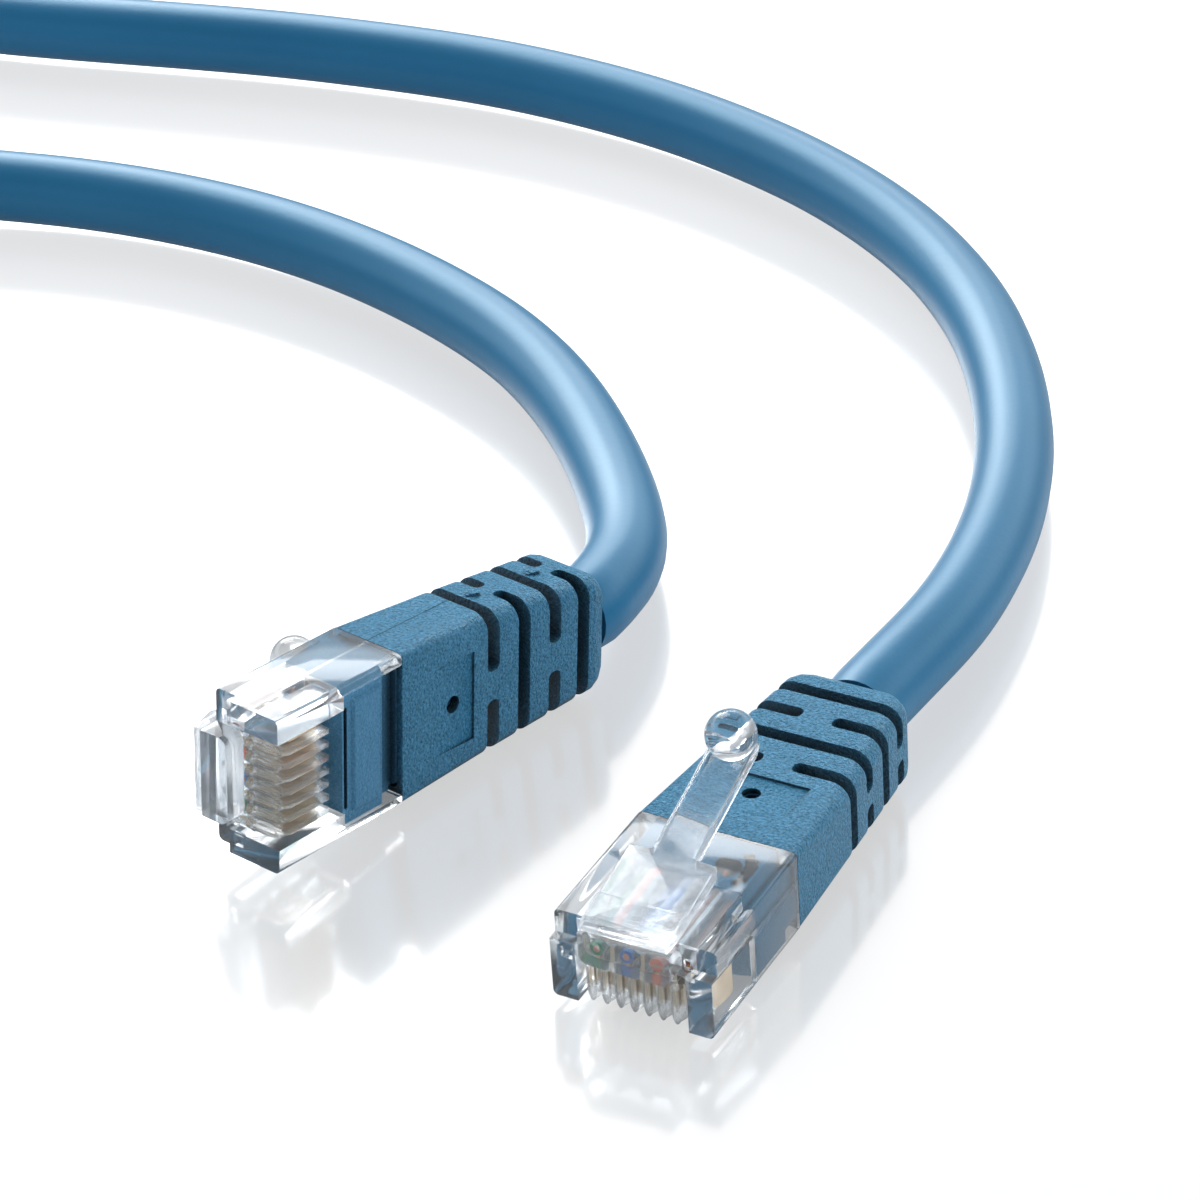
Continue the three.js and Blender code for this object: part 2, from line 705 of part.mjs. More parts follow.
function addPlug(letter, plug) {
  const place = placementOf(plug);
  const add = (name, solid, material) =>
    piece(`${name}_${letter}`, geometryOf(solid).applyMatrix4(place), material);
  add("plug_housing", housing(), clear);
  add("latch_lever", latchLever(), clear);
  add("load_bar", loadBar(), clear);
  add("inner_mould", innerMould(), mouldBlue);
  add("boot", boot(plug.gateSide), bootBlue);
  add("jacket_run", jacketRun(), jacket);
  for (const pin of pins) {
    const wireName = WIRE_NAMES[pin];
    add(`contact_${pin + 1}`, contact(pin), gold);
    add(`wire_${pin + 1}_${wireName}`, wire(pin), paint(WIRE_COLOURS[wireName], 0.5));
  }
}

// The coil's centreline: in on the lower layer, up a layer in the half turn, out on the upper one
const COIL_RAMP = (COIL_SWEEP - 180) / 2;

// How far the turns lie over the tie's lower strap: full near the tie, none at its far end
function overTie(angle) {
  const away = Math.abs(((angle - TIE_ANGLE + 540) % 360) - 180);
  const [full, none] = TIE_LIFT_SPAN;
  const share = Math.min(Math.max((none - away) / (none - full), 0), 1);
  return (TIE_LIFT * (1 - Math.cos(Math.PI * share))) / 2;
}

function coilPoint(angle) {
  const turned = angle - COIL_START;
  const inner = COIL_RADIUS - (COIL_PITCH * COIL_RAMP) / 360;
  const climb = Math.min(Math.max((turned - COIL_RAMP) / 180, 0), 1);
  let radius = inner - COIL_BULGE * Math.sin(Math.PI * climb);
  if (climb <= 0) radius = COIL_RADIUS - (COIL_PITCH * turned) / 360;
  if (climb >= 1) radius = inner + (COIL_PITCH * (turned - COIL_RAMP - 180)) / 360;
  const a = THREE.MathUtils.degToRad(angle);
  return {
    radius,
    point: new THREE.Vector3(
      COIL_CENTRE[0] + radius * Math.cos(a),
      COIL_CENTRE[1] + radius * Math.sin(a),
      CORD_REST + overTie(angle) + (COIL_LAYER * (1 - Math.cos(Math.PI * climb))) / 2,
    ),
  };
}

function coilPath() {
  const steps = Math.round(COIL_SWEEP / COIL_STEP);
  const path = [];
  for (let i = 0; i <= steps; i++) path.push(coilPoint(COIL_START + (COIL_SWEEP * i) / steps).point);
  const tangent = (angle) => {
    const a = THREE.MathUtils.degToRad(angle);
    return new THREE.Vector3(-Math.sin(a), Math.cos(a), 0);
  };
  const startDirection = tangent(COIL_START);
  const endDirection = tangent(COIL_START + COIL_SWEEP);
  const entry = path[0].clone().addScaledVector(startDirection, -CORD_DIAMETER);
  const exit = path[path.length - 1].clone().addScaledVector(endDirection, CORD_DIAMETER);
  return { path: [entry, ...path, exit], startDirection, endDirection };
}

const coil = coilPath();

function coilGeometry() {
  const { path, startDirection, endDirection } = coil;
  const up = new THREE.Vector3(0, 0, 1);
  const rings = path.map((point, i) => {
    let along = path[Math.min(i + 1, path.length - 1)].clone().sub(path[Math.max(i - 1, 0)]).normalize();
    if (i <= 1) along = startDirection.clone();
    if (i >= path.length - 2) along = endDirection.clone();
    const side = new THREE.Vector3().crossVectors(up, along).normalize();
    const lift = new THREE.Vector3().crossVectors(along, side);
    return [...Array(COIL_SIDES).keys()].map((k) => {
      const a = (2 * Math.PI * k) / COIL_SIDES + Math.PI / 2;
      return point
        .clone()
        .addScaledVector(side, (CORD_DIAMETER / 2) * Math.cos(a))
        .addScaledVector(lift, (CORD_DIAMETER / 2) * Math.sin(a));
    });
  });
  return loftGeometry(rings);
}

// Least gap of the coil to itself, on points of its centreline a quarter turn or more apart
function coilGap() {
  const points = [];
  for (let angle = COIL_START; angle <= COIL_START + COIL_SWEEP; angle += 3) points.push(coilPoint(angle).point);
  let least = Infinity;
  for (let i = 0; i < points.length; i++) {
    for (let j = i + 30; j < points.length; j++) least = Math.min(least, points[i].distanceTo(points[j]));
  }
  return least - CORD_DIAMETER;
}

function coilTie() {
  const radii = [];
  for (let angle = TIE_ANGLE; angle <= COIL_START + COIL_SWEEP; angle += 360) radii.push(coilPoint(angle).radius);
  const reach = CORD_DIAMETER / 2 + TIE_CLEARANCE;
  const inner = Math.min(...radii) - reach - 0.35;
  const outer = Math.max(...radii) + reach;
  const lowTurn = CORD_REST + TIE_LIFT;
  const low = lowTurn - CORD_DIAMETER / 2 - TIE_CLEARANCE;
  const high = lowTurn + COIL_LAYER + CORD_DIAMETER / 2 + TIE_CLEARANCE;
  const t = TIE_THICKNESS;
  const [tabLength, tabThickness] = TIE_TAB;
  const ring = alongY(roundedShape(inner - t, outer + t, low - t, high + t, 2.4), -TIE_WIDTH / 2, TIE_WIDTH / 2)
    .subtract(alongY(roundedShape(inner, outer, low, high, 1.7), -TIE_WIDTH, TIE_WIDTH))
    .add(
      box(
        (inner + outer - tabLength) / 2,
        (inner + outer + tabLength) / 2,
        -TIE_WIDTH / 2,
        TIE_WIDTH / 2,
        high + t - 0.1,
        high + t + tabThickness,
      ),
    );
  const geometry = geometryOf(ring);
  geometry.rotateZ(THREE.MathUtils.degToRad(TIE_ANGLE));
  geometry.translate(COIL_CENTRE[0], COIL_CENTRE[1], 0);
  return geometry;
}

// A stretch ends square to the coil's flat end, a small gap short of it.
const stretchEnd = (point, direction) =>
  [JOIN_GAP + CORD_DIAMETER / 2, JOIN_GAP].map((away) => point.clone().addScaledVector(direction, away).toArray());

addPlug("a", PLUG_A);
addPlug("b", PLUG_B);
const entry = stretchEnd(coil.path[0], coil.startDirection.clone().negate());
const exit = stretchEnd(coil.path[coil.path.length - 1], coil.endDirection);
const routeA = [...STRETCH_A_ROUTE, ...entry];
const routeB = [...STRETCH_B_ROUTE, ...exit];
piece("cord_stretch_a", tubeGeometry(routeA, CORD_DIAMETER, CORD_SIDES, STRETCH_A_STEPS), jacket);
piece("cord_coil", coilGeometry(), jacket);
piece("cord_stretch_b", tubeGeometry(routeB, CORD_DIAMETER, CORD_SIDES, STRETCH_B_STEPS), jacket);
piece("coil_tie", coilTie(), tieBlack);

console.log(`coil's least gap to itself: ${coilGap().toFixed(2)} mm`);

export default root;
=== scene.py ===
import math

import bmesh
import bpy
from mathutils import Matrix, Vector


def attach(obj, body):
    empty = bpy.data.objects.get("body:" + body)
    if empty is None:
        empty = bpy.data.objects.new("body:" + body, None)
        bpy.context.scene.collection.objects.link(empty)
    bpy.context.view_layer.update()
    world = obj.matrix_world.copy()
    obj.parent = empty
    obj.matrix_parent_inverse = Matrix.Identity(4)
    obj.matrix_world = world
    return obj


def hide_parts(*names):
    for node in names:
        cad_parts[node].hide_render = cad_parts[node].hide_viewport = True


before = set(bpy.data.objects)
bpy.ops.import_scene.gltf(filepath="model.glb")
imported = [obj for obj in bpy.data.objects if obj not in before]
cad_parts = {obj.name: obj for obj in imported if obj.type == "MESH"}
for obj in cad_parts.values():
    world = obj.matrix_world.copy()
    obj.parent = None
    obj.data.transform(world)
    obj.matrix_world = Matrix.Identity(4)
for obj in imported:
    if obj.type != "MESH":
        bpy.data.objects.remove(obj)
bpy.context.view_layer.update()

MM = 0.001


def linked(name, data):
    """A new object in the scene."""
    obj = bpy.data.objects.new(name, data)
    bpy.context.scene.collection.objects.link(obj)
    return obj


# ---------------------------------------------------------------- camera
CAMERA_TURN = math.radians(29.54)
CAMERA_ELEVATION = math.radians(31.436)
CAMERA_ROLL = math.radians(-2.473)
CAMERA_PLACE = (135.22, -229.07, 179.80)
CAMERA_LENS, CAMERA_SENSOR = 141.0, 36


def add_camera():
    """Camera at the fitted place, tilted down, rolled a little and turned about the upright."""
    c, s = math.cos(CAMERA_ELEVATION), math.sin(CAMERA_ELEVATION)
    right, down, ahead = Vector((1, 0, 0)), Vector((0, -s, -c)), Vector((0, c, -s))
    cr, sr = math.cos(CAMERA_ROLL), math.sin(CAMERA_ROLL)
    rolled_right = right * cr - down * sr
    rolled_down = right * sr + down * cr
    turn = Matrix.Rotation(CAMERA_TURN, 3, "Z")
    columns = [turn @ rolled_right, turn @ -rolled_down, turn @ -ahead]
    place = Matrix([[col[i] for col in columns] for i in range(3)]).to_4x4()
    place.translation = Vector(CAMERA_PLACE) * MM
    data = bpy.data.cameras.new("camera")
    data.sensor_fit = "HORIZONTAL"
    data.sensor_width = CAMERA_SENSOR
    data.lens = CAMERA_LENS
    data.clip_start = 0.01
    data.clip_end = 20
    camera = linked("camera", data)
    camera.matrix_world = place
    bpy.context.scene.camera = camera


add_camera()

# ---------------------------------------------------------------- the cord's route, in millimetres
CORD_DIAMETER = 6.0
REST = 3.02
STEP, SMOOTHING, KEPT_ENDS = 1.2, 30, 3
# from each plug to the coil: (x, y, z) of the cord's middle
ROUTE_A = [
    (16.4, 15.7, 3.5), (16.4, 19.4, 3.6), (16.4, 23.4, 3.55), (16.9, 27.4, 3.3), (16.2, 35.7, 3.08),
    (14.5, 44.7, REST), (11.2, 54.4, REST), (6.2, 64.1, REST), (0.0, 73.0, REST), (-7.1, 80.3, REST),
    (-14.5, 85.8, REST), (-22.0, 90.0, REST), (-29.4, 92.9, REST), (-36.9, 95.2, REST), (-44.1, 96.6, REST),
    (-51.3, 97.3, REST), (-58.3, 97.5, REST), (-65.1, 96.9, REST), (-78.4, 95.0, REST), (-91.6, 91.9, REST),
    (-104.8, 88.7, REST), (-117.5, 87.1, REST), (-130.0, 87.3, REST), (-142.0, 88.5, REST), (-154.0, 89.6, REST),
]
ROUTE_B = [
    (-6.9, 17.9, 4.51), (-6.6, 19.4, 4.38), (-6.4, 21.9, 4.15), (-6.7, 25.1, 3.85), (-7.8, 28.6, 3.55),
    (-9.8, 31.8, 3.3), (-12.7, 35.7, 3.1), (-16.4, 40.3, REST), (-20.9, 45.1, REST), (-26.5, 50.1, REST),
    (-32.4, 54.1, REST), (-38.5, 57.1, REST), (-44.4, 59.4, REST), (-50.2, 61.2, REST), (-56.1, 62.4, REST),
    (-61.8, 63.1, REST), (-67.2, 63.3, REST), (-72.5, 63.1, REST), (-79.5, 62.2, REST), (-86.5, 60.4, 3.1),
    (-94.0, 57.8, 3.4), (-103.0, 53.6, 4.5), (-112.0, 48.4, 6.5), (-121.0, 42.8, 8.5), (-129.0, 37.3, 9.42),
]
COIL_CENTRE = (-173.08, 49.19)
COIL_RADIUS, COIL_PITCH, COIL_LAYER, COIL_BULGE = 39.5, 6.55, 6.5, 1.2
COIL_START, COIL_SWEEP = 96, 945
# the coil winds inwards, climbs onto its second layer over half a turn and winds out again
COIL_CLIMB = 180
COIL_RAMP = (COIL_SWEEP - COIL_CLIMB) / 2
TIE_ANGLE, TIE_WIDTH, TIE_THICKNESS, TIE_LIFT = 200, 9.0, 0.75, 1.15
TIE_LIFT_SPAN = (16, 60)


def over_tie(angle):
    """How far the turns lie over the tie's lower strap."""
    away = abs((angle - TIE_ANGLE + 540) % 360 - 180)
    full, none = TIE_LIFT_SPAN
    share = min(max((none - away) / (none - full), 0), 1)
    return TIE_LIFT * (1 - math.cos(math.pi * share)) / 2


def coil_point(angle):
    """A point of the coil at an angle in degrees, which runs on from turn to turn."""
    turned = angle - COIL_START
    inner = COIL_RADIUS - COIL_PITCH * COIL_RAMP / 360
    climb = min(max((turned - COIL_RAMP) / COIL_CLIMB, 0), 1)
    radius = inner - COIL_BULGE * math.sin(math.pi * climb)
    if climb <= 0:
        radius = COIL_RADIUS - COIL_PITCH * turned / 360
    if climb >= 1:
        radius = inner + COIL_PITCH * (turned - COIL_RAMP - COIL_CLIMB) / 360
    a = math.radians(angle)
    z = REST + over_tie(angle) + COIL_LAYER * (1 - math.cos(math.pi * climb)) / 2
    return Vector((COIL_CENTRE[0] + radius * math.cos(a), COIL_CENTRE[1] + radius * math.sin(a), z))


def catmull_rom(points, step):
    """Centripetal curve through the points, sampled about every step."""
    p = [Vector(q) for q in points]
    p = [p[0] * 2 - p[1]] + p + [p[-1] * 2 - p[-2]]
    out = []
    for i in range(1, len(p) - 2):
        p0, p1, p2, p3 = p[i - 1], p[i], p[i + 1], p[i + 2]
        t0 = 0.0
        t1 = t0 + (p1 - p0).length ** 0.5
        t2 = t1 + (p2 - p1).length ** 0.5
        t3 = t2 + (p3 - p2).length ** 0.5
        n = max(2, int(round((p2 - p1).length / step)))
        for k in range(n):
            t = t1 + (t2 - t1) * k / n
            a1 = p0 * ((t1 - t) / (t1 - t0)) + p1 * ((t - t0) / (t1 - t0))
            a2 = p1 * ((t2 - t) / (t2 - t1)) + p2 * ((t - t1) / (t2 - t1))
            a3 = p2 * ((t3 - t) / (t3 - t2)) + p3 * ((t - t2) / (t3 - t2))
            b1 = a1 * ((t2 - t) / (t2 - t0)) + a2 * ((t - t0) / (t2 - t0))
            b2 = a2 * ((t3 - t) / (t3 - t1)) + a3 * ((t - t1) / (t3 - t1))
            out.append(b1 * ((t2 - t) / (t2 - t1)) + b2 * ((t - t1) / (t2 - t1)))
    out.append(p[-2].copy())
    return out


def smoothed(points, passes, keep):
    """Evens out small kinks; the first and last few points stay."""
    for _ in range(passes):
        new = list(points)
        for i in range(keep, len(points) - keep):
            new[i] = points[i] * 0.5 + (points[i - 1] + points[i + 1]) * 0.25
        points = new
    return points


def cord_points():
    """The cord's middle line from plug A through the coil to plug B."""
    turns = [coil_point(COIL_START + i * 3) for i in range(COIL_SWEEP // 3 + 1)]
    route = list(ROUTE_A) + [tuple(q) for q in turns[::5]] + list(reversed(ROUTE_B))
    return smoothed(catmull_rom(route, STEP), SMOOTHING, KEPT_ENDS)


def add_cord():
    """The whole cord as one round tube, in place of its three solids."""
    points = cord_points()
    curve = bpy.data.curves.new("cord", "CURVE")
    curve.dimensions = "3D"
    curve.bevel_depth = 1.0
    curve.bevel_resolution = 10
    curve.use_fill_caps = True
    curve.twist_mode = "MINIMUM"
    spline = curve.splines.new("POLY")
    spline.points.add(len(points) - 1)
    for point, q in zip(spline.points, points):
        point.co = (q.x * MM, q.y * MM, q.z * MM, 1)
        point.radius = CORD_DIAMETER / 2 * MM
    spline.use_smooth = True
    obj = linked("cord", curve)
    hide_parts("cord_stretch_a", "cord_coil", "cord_stretch_b")
    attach(obj, "cable")
    return obj


cord = add_cord()


# ---------------------------------------------------------------- node materials
BLUE_SHEEN = (0.45, 0.8, 1, 1)


def new_material(name):
    material = bpy.data.materials.new(name)
    material.use_nodes = True
    tree = material.node_tree
    return material, tree, tree.nodes["Principled BSDF"]


def node(tree, kind, **inputs):
    """A new node. An input is named by its label, with _ for a space."""
    made = tree.nodes.new(kind)
    set_inputs(made, **inputs)
    return made


def set_inputs(made, **inputs):
    for key, value in inputs.items():
        made.inputs[key.replace("_", " ")].default_value = value


def mixed_shader(tree, share, first, second):
    """Two shaders in one: share is a number or an output."""
    made = tree.nodes.new("ShaderNodeMixShader")
    if isinstance(share, float):
        made.inputs["Fac"].default_value = share
    else:
        tree.links.new(share, made.inputs["Fac"])
    tree.links.new(first, made.inputs[1])
    tree.links.new(second, made.inputs[2])
    return made.outputs[0]


def worked_out(tree, operation, first, second):
    """A sum on two outputs."""
    made = tree.nodes.new("ShaderNodeMath")
    made.operation = operation
    tree.links.new(first, made.inputs[0])
    tree.links.new(second, made.inputs[1])
    return made.outputs[0]


def noise(tree, coords, scale, detail=3.0, roughness=0.5):
    made = node(tree, "ShaderNodeTexNoise", Scale=scale, Detail=detail, Roughness=roughness)
    tree.links.new(coords, made.inputs["Vector"])
    return made


def bump_from(tree, height, strength, distance):
    made = node(tree, "ShaderNodeBump", Strength=strength, Distance=distance)
    tree.links.new(height, made.inputs["Height"])
    return made.outputs["Normal"]


def object_coords(tree):
    return tree.nodes.new("ShaderNodeTexCoord").outputs["Object"]


def varied(tree, coords, low, high, scale):
    """A colour that drifts a little over the surface."""
    ramp = tree.nodes.new("ShaderNodeValToRGB")
    ramp.color_ramp.elements[0].position = 0.3
    ramp.color_ramp.elements[1].position = 0.7
    ramp.color_ramp.elements[0].color = (*low, 1)
    ramp.color_ramp.elements[1].color = (*high, 1)
    tree.links.new(noise(tree, coords, scale).outputs["Fac"], ramp.inputs["Fac"])
    return ramp.outputs["Color"]


def painted_recess_shade(tree, colour, reach, alone=False):
    """Painted shade: darkens the colour in slots and corners. With alone, only the piece's own faces shade it."""
    dark = node(tree, "ShaderNodeAmbientOcclusion", Distance=reach)
    dark.samples = 6
    dark.only_local = alone
    deeper = node(tree, "ShaderNodeGamma", Gamma=2.6)
    mixed = tree.nodes.new("ShaderNodeMix")
    mixed.data_type = "RGBA"
    mixed.blend_type = "MULTIPLY"
    mixed.inputs["Factor"].default_value = 1.0
    tree.links.new(dark.outputs["Color"], deeper.inputs["Color"])
    tree.links.new(colour, mixed.inputs["A"])
    tree.links.new(deeper.outputs["Color"], mixed.inputs["B"])
    return mixed.outputs["Result"]


def ramp_of(tree, value, low, high, at_low, at_high):
    """A smooth step from one level to another as the value goes from low to high."""
    made = tree.nodes.new("ShaderNodeMapRange")
    made.interpolation_type = "SMOOTHSTEP"
    for key, number in (("From Min", low), ("From Max", high), ("To Min", at_low), ("To Max", at_high)):
        made.inputs[key].default_value = number
    tree.links.new(value, made.inputs["Value"])
    return made.outputs["Result"]


def grained_blue(name, low, high, grain, depth, rough, shade_reach, alone=False, gloss=0.5):
    """Spark-eroded mould surface: a fine grain in height and in tone, with painted shade darkening its slots and
    corners.
    """
    material, tree, shader = new_material(name)
    coords = object_coords(tree)
    tone = varied(tree, coords, low, high, grain)
    tree.links.new(painted_recess_shade(tree, tone, shade_reach, alone), shader.inputs["Base Color"])
    set_inputs(shader, Roughness=rough, Specular_IOR_Level=gloss, Specular_Tint=BLUE_SHEEN)
    coarse = noise(tree, coords, grain * 0.9, 3.0, 0.65)
    tree.links.new(bump_from(tree, coarse.outputs["Fac"], 0.9, depth), shader.inputs["Normal"])
    return material


def fine_surface(name, low, high, drift, grain, strength, depth, **inputs):
    """A surface whose tone drifts and whose fine grain shows only in its sheen."""
    material, tree, shader = new_material(name)
    coords = object_coords(tree)
    tree.links.new(varied(tree, coords, low, high, drift), shader.inputs["Base Color"])
    set_inputs(shader, **inputs)
    fine = noise(tree, coords, grain, 2.0)
    tree.links.new(bump_from(tree, fine.outputs["Fac"], strength, depth), shader.inputs["Normal"])
    return material


def insulation(name, colour, **inputs):
    """A wire's plastic, or with Metallic its bare core."""
    low = tuple(c * 0.9 for c in colour)
    return fine_surface(name, low, colour, 500, 5000, 0.1, 0.00003, Roughness=0.4, **inputs)


def clear_plastic(name, tint, rough, ior=1.45, haze=0.0, bump=0.03, milk_and_sheen=None, straight=0.0):
    """Clear polycarbonate. Light passes through it to the floor. Haze is a share of white, milk, (from, to,
    share), adds matt white along the plug, partly cloudy plastic and partly painted sheen, and straight is the
    share seen through unbent."""
    material, tree, shader = new_material(name)
    coords = object_coords(tree)
    set_inputs(shader, Base_Color=(*tint, 1), Roughness=rough, IOR=ior, Transmission_Weight=1.0 - haze)
    flow = noise(tree, coords, 260, 2.0)
    tree.links.new(bump_from(tree, flow.outputs["Fac"], bump, 0.0003), shader.inputs["Normal"])
    surface = shader.outputs["BSDF"]
    if straight:
        unbent = node(tree, "ShaderNodeBsdfTransparent", Color=(*tint, 1))
        surface = mixed_shader(tree, straight, surface, unbent.outputs[0])
    if milk_and_sheen:
        # matt white along the plug: partly cloudy plastic, partly painted sheen
        along = tree.nodes.new("ShaderNodeAttribute")
        along.attribute_name = "along"
        share = ramp_of(tree, along.outputs["Fac"], milk_and_sheen[0], milk_and_sheen[1], 0.0, milk_and_sheen[2])
        cloud_and_sheen = ramp_of(tree, noise(tree, coords, 420, 4.0, 0.6).outputs["Fac"], 0.4, 0.6, 0.15, 1.0)
        white = node(tree, "ShaderNodeBsdfDiffuse", Color=(0.62, 0.64, 0.66, 1))
        surface = mixed_shader(tree, worked_out(tree, "MULTIPLY", share, cloud_and_sheen), surface, white.outputs[0])
    path = tree.nodes.new("ShaderNodeLightPath")
    see = node(tree, "ShaderNodeBsdfTransparent", Color=(0.86, 0.9, 0.93, 1))
    surface = mixed_shader(tree, path.outputs["Is Shadow Ray"], surface, see.outputs[0])
    tree.links.new(surface, tree.nodes["Material Output"].inputs["Surface"])
    return material


def strap_black():
    """Hook-and-loop strap, covered with small loops."""
    material, tree, shader = new_material("strap_black")
    coords = object_coords(tree)
    tone = varied(tree, coords, (0.012, 0.013, 0.015), (0.03, 0.032, 0.036), 1500)
    tree.links.new(tone, shader.inputs["Base Color"])
    shader.inputs["Roughness"].default_value = 0.9
    loops = node(tree, "ShaderNodeTexVoronoi", Scale=1800.0)
    tree.links.new(coords, loops.inputs["Vector"])
    tree.links.new(bump_from(tree, loops.outputs["Distance"], 0.8, 0.0003), shader.inputs["Normal"])
    return material


MATERIALS = {
    "clear": clear_plastic("clear_plastic", (0.94, 0.96, 0.975), 0.08, 1.42, 0.03),
    "fins": clear_plastic("clear_fins", (0.97, 0.98, 0.985), 0.05, 1.28, 0.05, straight=0.38),
    "nose": clear_plastic("clear_nose", (0.95, 0.965, 0.98), 0.06, 1.36, 0.05, straight=0.15),
    "bar": clear_plastic("clear_bar", (0.94, 0.96, 0.97), 0.25, 1.2, 0.12, straight=0.4),
    "lever": clear_plastic("clear_lever", (0.97, 0.98, 0.99), 0.015, 1.42, 0.02,
                           milk_and_sheen=(-11, -8, 0.3), straight=0.12),
    "mould": grained_blue("mould_blue", (0.058, 0.195, 0.33), (0.105, 0.28, 0.45),
                          5200, 0.0003, 0.45, 0.002, alone=True),
    # faces against the housing's roof and walls: painted shade, a darker copy of the mould's blue
    "buried": grained_blue("buried_blue", (0.04, 0.12, 0.19), (0.07, 0.17, 0.26),
                           5200, 0.0001, 0.5, 0.001, alone=True, gloss=0.0),
    # faces of the hollows: painted shade, a near-black copy of the mould's blue
    "hollow": grained_blue("hollow_blue", (0.008, 0.022, 0.036), (0.014, 0.034, 0.052),
                           5200, 0.0001, 0.5, 0.001, alone=True, gloss=0.0),
    "boot": grained_blue("boot_blue", (0.028, 0.185, 0.34), (0.135, 0.49, 0.79),
                         5000, 0.0014, 0.32, 0.0018, gloss=0.6),
    "jacket": fine_surface("jacket_blue", (0.019, 0.14, 0.27), (0.022, 0.152, 0.29), 90, 1700, 0.1, 0.0001,
                           Roughness=0.36, Specular_IOR_Level=0.5, Specular_Tint=BLUE_SHEEN),
    "gold": fine_surface("contact_gold", (0.62, 0.44, 0.27), (0.82, 0.63, 0.42), 900, 6000, 0.25, 0.00005,
                         Metallic=0.3, Roughness=0.5),
    "copper": insulation("copper", (0.75, 0.3, 0.16), Metallic=0.9),
    "white": insulation("wire_white", (0.55, 0.55, 0.54)),
    "green": insulation("wire_green", (0.03, 0.25, 0.09)),
    "orange": insulation("wire_orange", (0.85, 0.16, 0.03)),
    "blue": insulation("wire_blue", (0.02, 0.14, 0.45)),
    "brown": insulation("wire_brown", (0.2, 0.06, 0.025)),
    "strap": strap_black(),
}
cord.data.materials.append(MATERIALS["jacket"])


# ---------------------------------------------------------------- mesh tools, all in millimetres
def mesh_object(verts, faces):
    mesh = bpy.data.meshes.new("work")
    mesh.from_pydata([tuple(v) for v in verts], [], faces)
    return linked("work", mesh)


def prism(outline, low, high, axis):
    """An outline drawn out along an axis: (y, z) along x, (x, z) along y or (x, y) along z."""
    area = sum(a[0] * b[1] - b[0] * a[1] for a, b in zip(outline, outline[1:] + outline[:1]))
    if (area < 0) != (axis == "y"):
        outline = list(reversed(outline))
    place = {"x": lambda u, v, w: (w, u, v), "y": lambda u, v, w: (u, w, v),
             "z": lambda u, v, w: (u, v, w)}[axis]
    n = len(outline)
    verts = [place(u, v, low) for u, v in outline] + [place(u, v, high) for u, v in outline]
    faces = [tuple(reversed(range(n))), tuple(range(n, 2 * n))]
    faces += [(i, (i + 1) % n, n + (i + 1) % n, n + i) for i in range(n)]
    return mesh_object(verts, faces)


def block(x0, x1, y0, y1, z0, z1):
    return prism([(x0, y0), (x1, y0), (x1, y1), (x0, y1)], z0, z1, "z")


def rounded(u0, u1, v0, v1, radius, segments=6):
    """The outline of a rectangle with rounded corners."""
    points = []
    for cu, cv, quarter in (
        (u1 - radius, v1 - radius, 0),
        (u0 + radius, v1 - radius, 1),
        (u0 + radius, v0 + radius, 2),
        (u1 - radius, v0 + radius, 3),
    ):
        for i in range(segments + 1):
            a = (quarter + i / segments) * math.pi / 2
            points.append((cu + radius * math.cos(a), cv + radius * math.sin(a)))
    return points


def circle(radius, sides, cu=0.0, cv=0.0):
    return [
        (cu + radius * math.cos(2 * math.pi * i / sides), cv + radius * math.sin(2 * math.pi * i / sides))
        for i in range(sides)
    ]


def loft(rings):
    """A skin over rings of equally many points, closed at both ends."""
    n = len(rings[0])
    verts = [p for ring in rings for p in ring]
    faces = [tuple(reversed(range(n))), tuple(range((len(rings) - 1) * n, len(rings) * n))]
    for k in range(len(rings) - 1):
        for i in range(n):
            a, b = k * n + i, k * n + (i + 1) % n
            faces.append((a, b, b + n, a + n))
    return mesh_object(verts, faces)


def tube(points, diameter, sides):
    """A round tube along a path."""
    points = [Vector(p) for p in points]
    rings = []
    up = Vector((0, 0, 1))
    for i, p in enumerate(points):
        along = (points[min(i + 1, len(points) - 1)] - points[max(i - 1, 0)]).normalized()
        side = up.cross(along).normalized()
        lift = along.cross(side)
        rings.append([p + side * u + lift * v for u, v in circle(diameter / 2, sides)])
    return loft(rings)


def combine(target, tool, operation):
    modifier = target.modifiers.new("cut", "BOOLEAN")
    modifier.operation = operation
    modifier.solver = "EXACT"
    modifier.object = tool
    bake(target)
    bpy.data.objects.remove(tool)
    return target


def add_to(target, tool):
    return combine(target, tool, "UNION")


def cut(target, tool):
    return combine(target, tool, "DIFFERENCE")


def bake(obj):
    """Turns the object's modifiers into its mesh."""
    graph = bpy.context.evaluated_depsgraph_get()
    graph.update()
    mesh = bpy.data.meshes.new_from_object(obj.evaluated_get(graph), depsgraph=graph)
    obj.modifiers.clear()
    old = obj.data
    obj.data = mesh
    bpy.data.meshes.remove(old)


def soften(obj, width, segments=2, angle=32):
    """Rounds the sharp edges, as a mould does."""
    bm = bmesh.new()
    bm.from_mesh(obj.data)
    bmesh.ops.remove_doubles(bm, verts=bm.verts, dist=0.002)
    bmesh.ops.dissolve_limit(bm, angle_limit=math.radians(1), verts=bm.verts, edges=bm.edges)
    bm.to_mesh(obj.data)
    bm.free()
    modifier = obj.modifiers.new("soften", "BEVEL")
    modifier.width = width
    modifier.segments = segments
    modifier.limit_method = "ANGLE"
    modifier.angle_limit = math.radians(angle)
    modifier.use_clamp_overlap = True
    modifier.miter_outer = "MITER_ARC"
    bake(obj)
    return obj


def shade(mesh, angle=35):
    """Smooth shading, with edges sharper than the angle kept sharp."""
    bm = bmesh.new()
    bm.from_mesh(mesh)
    limit = math.radians(angle)
    for face in bm.faces:
        face.smooth = True
    for edge in bm.edges:
        if len(edge.link_faces) == 2:
            edge.smooth = edge.calc_face_angle(0) < limit
    bm.to_mesh(mesh)
    bm.free()


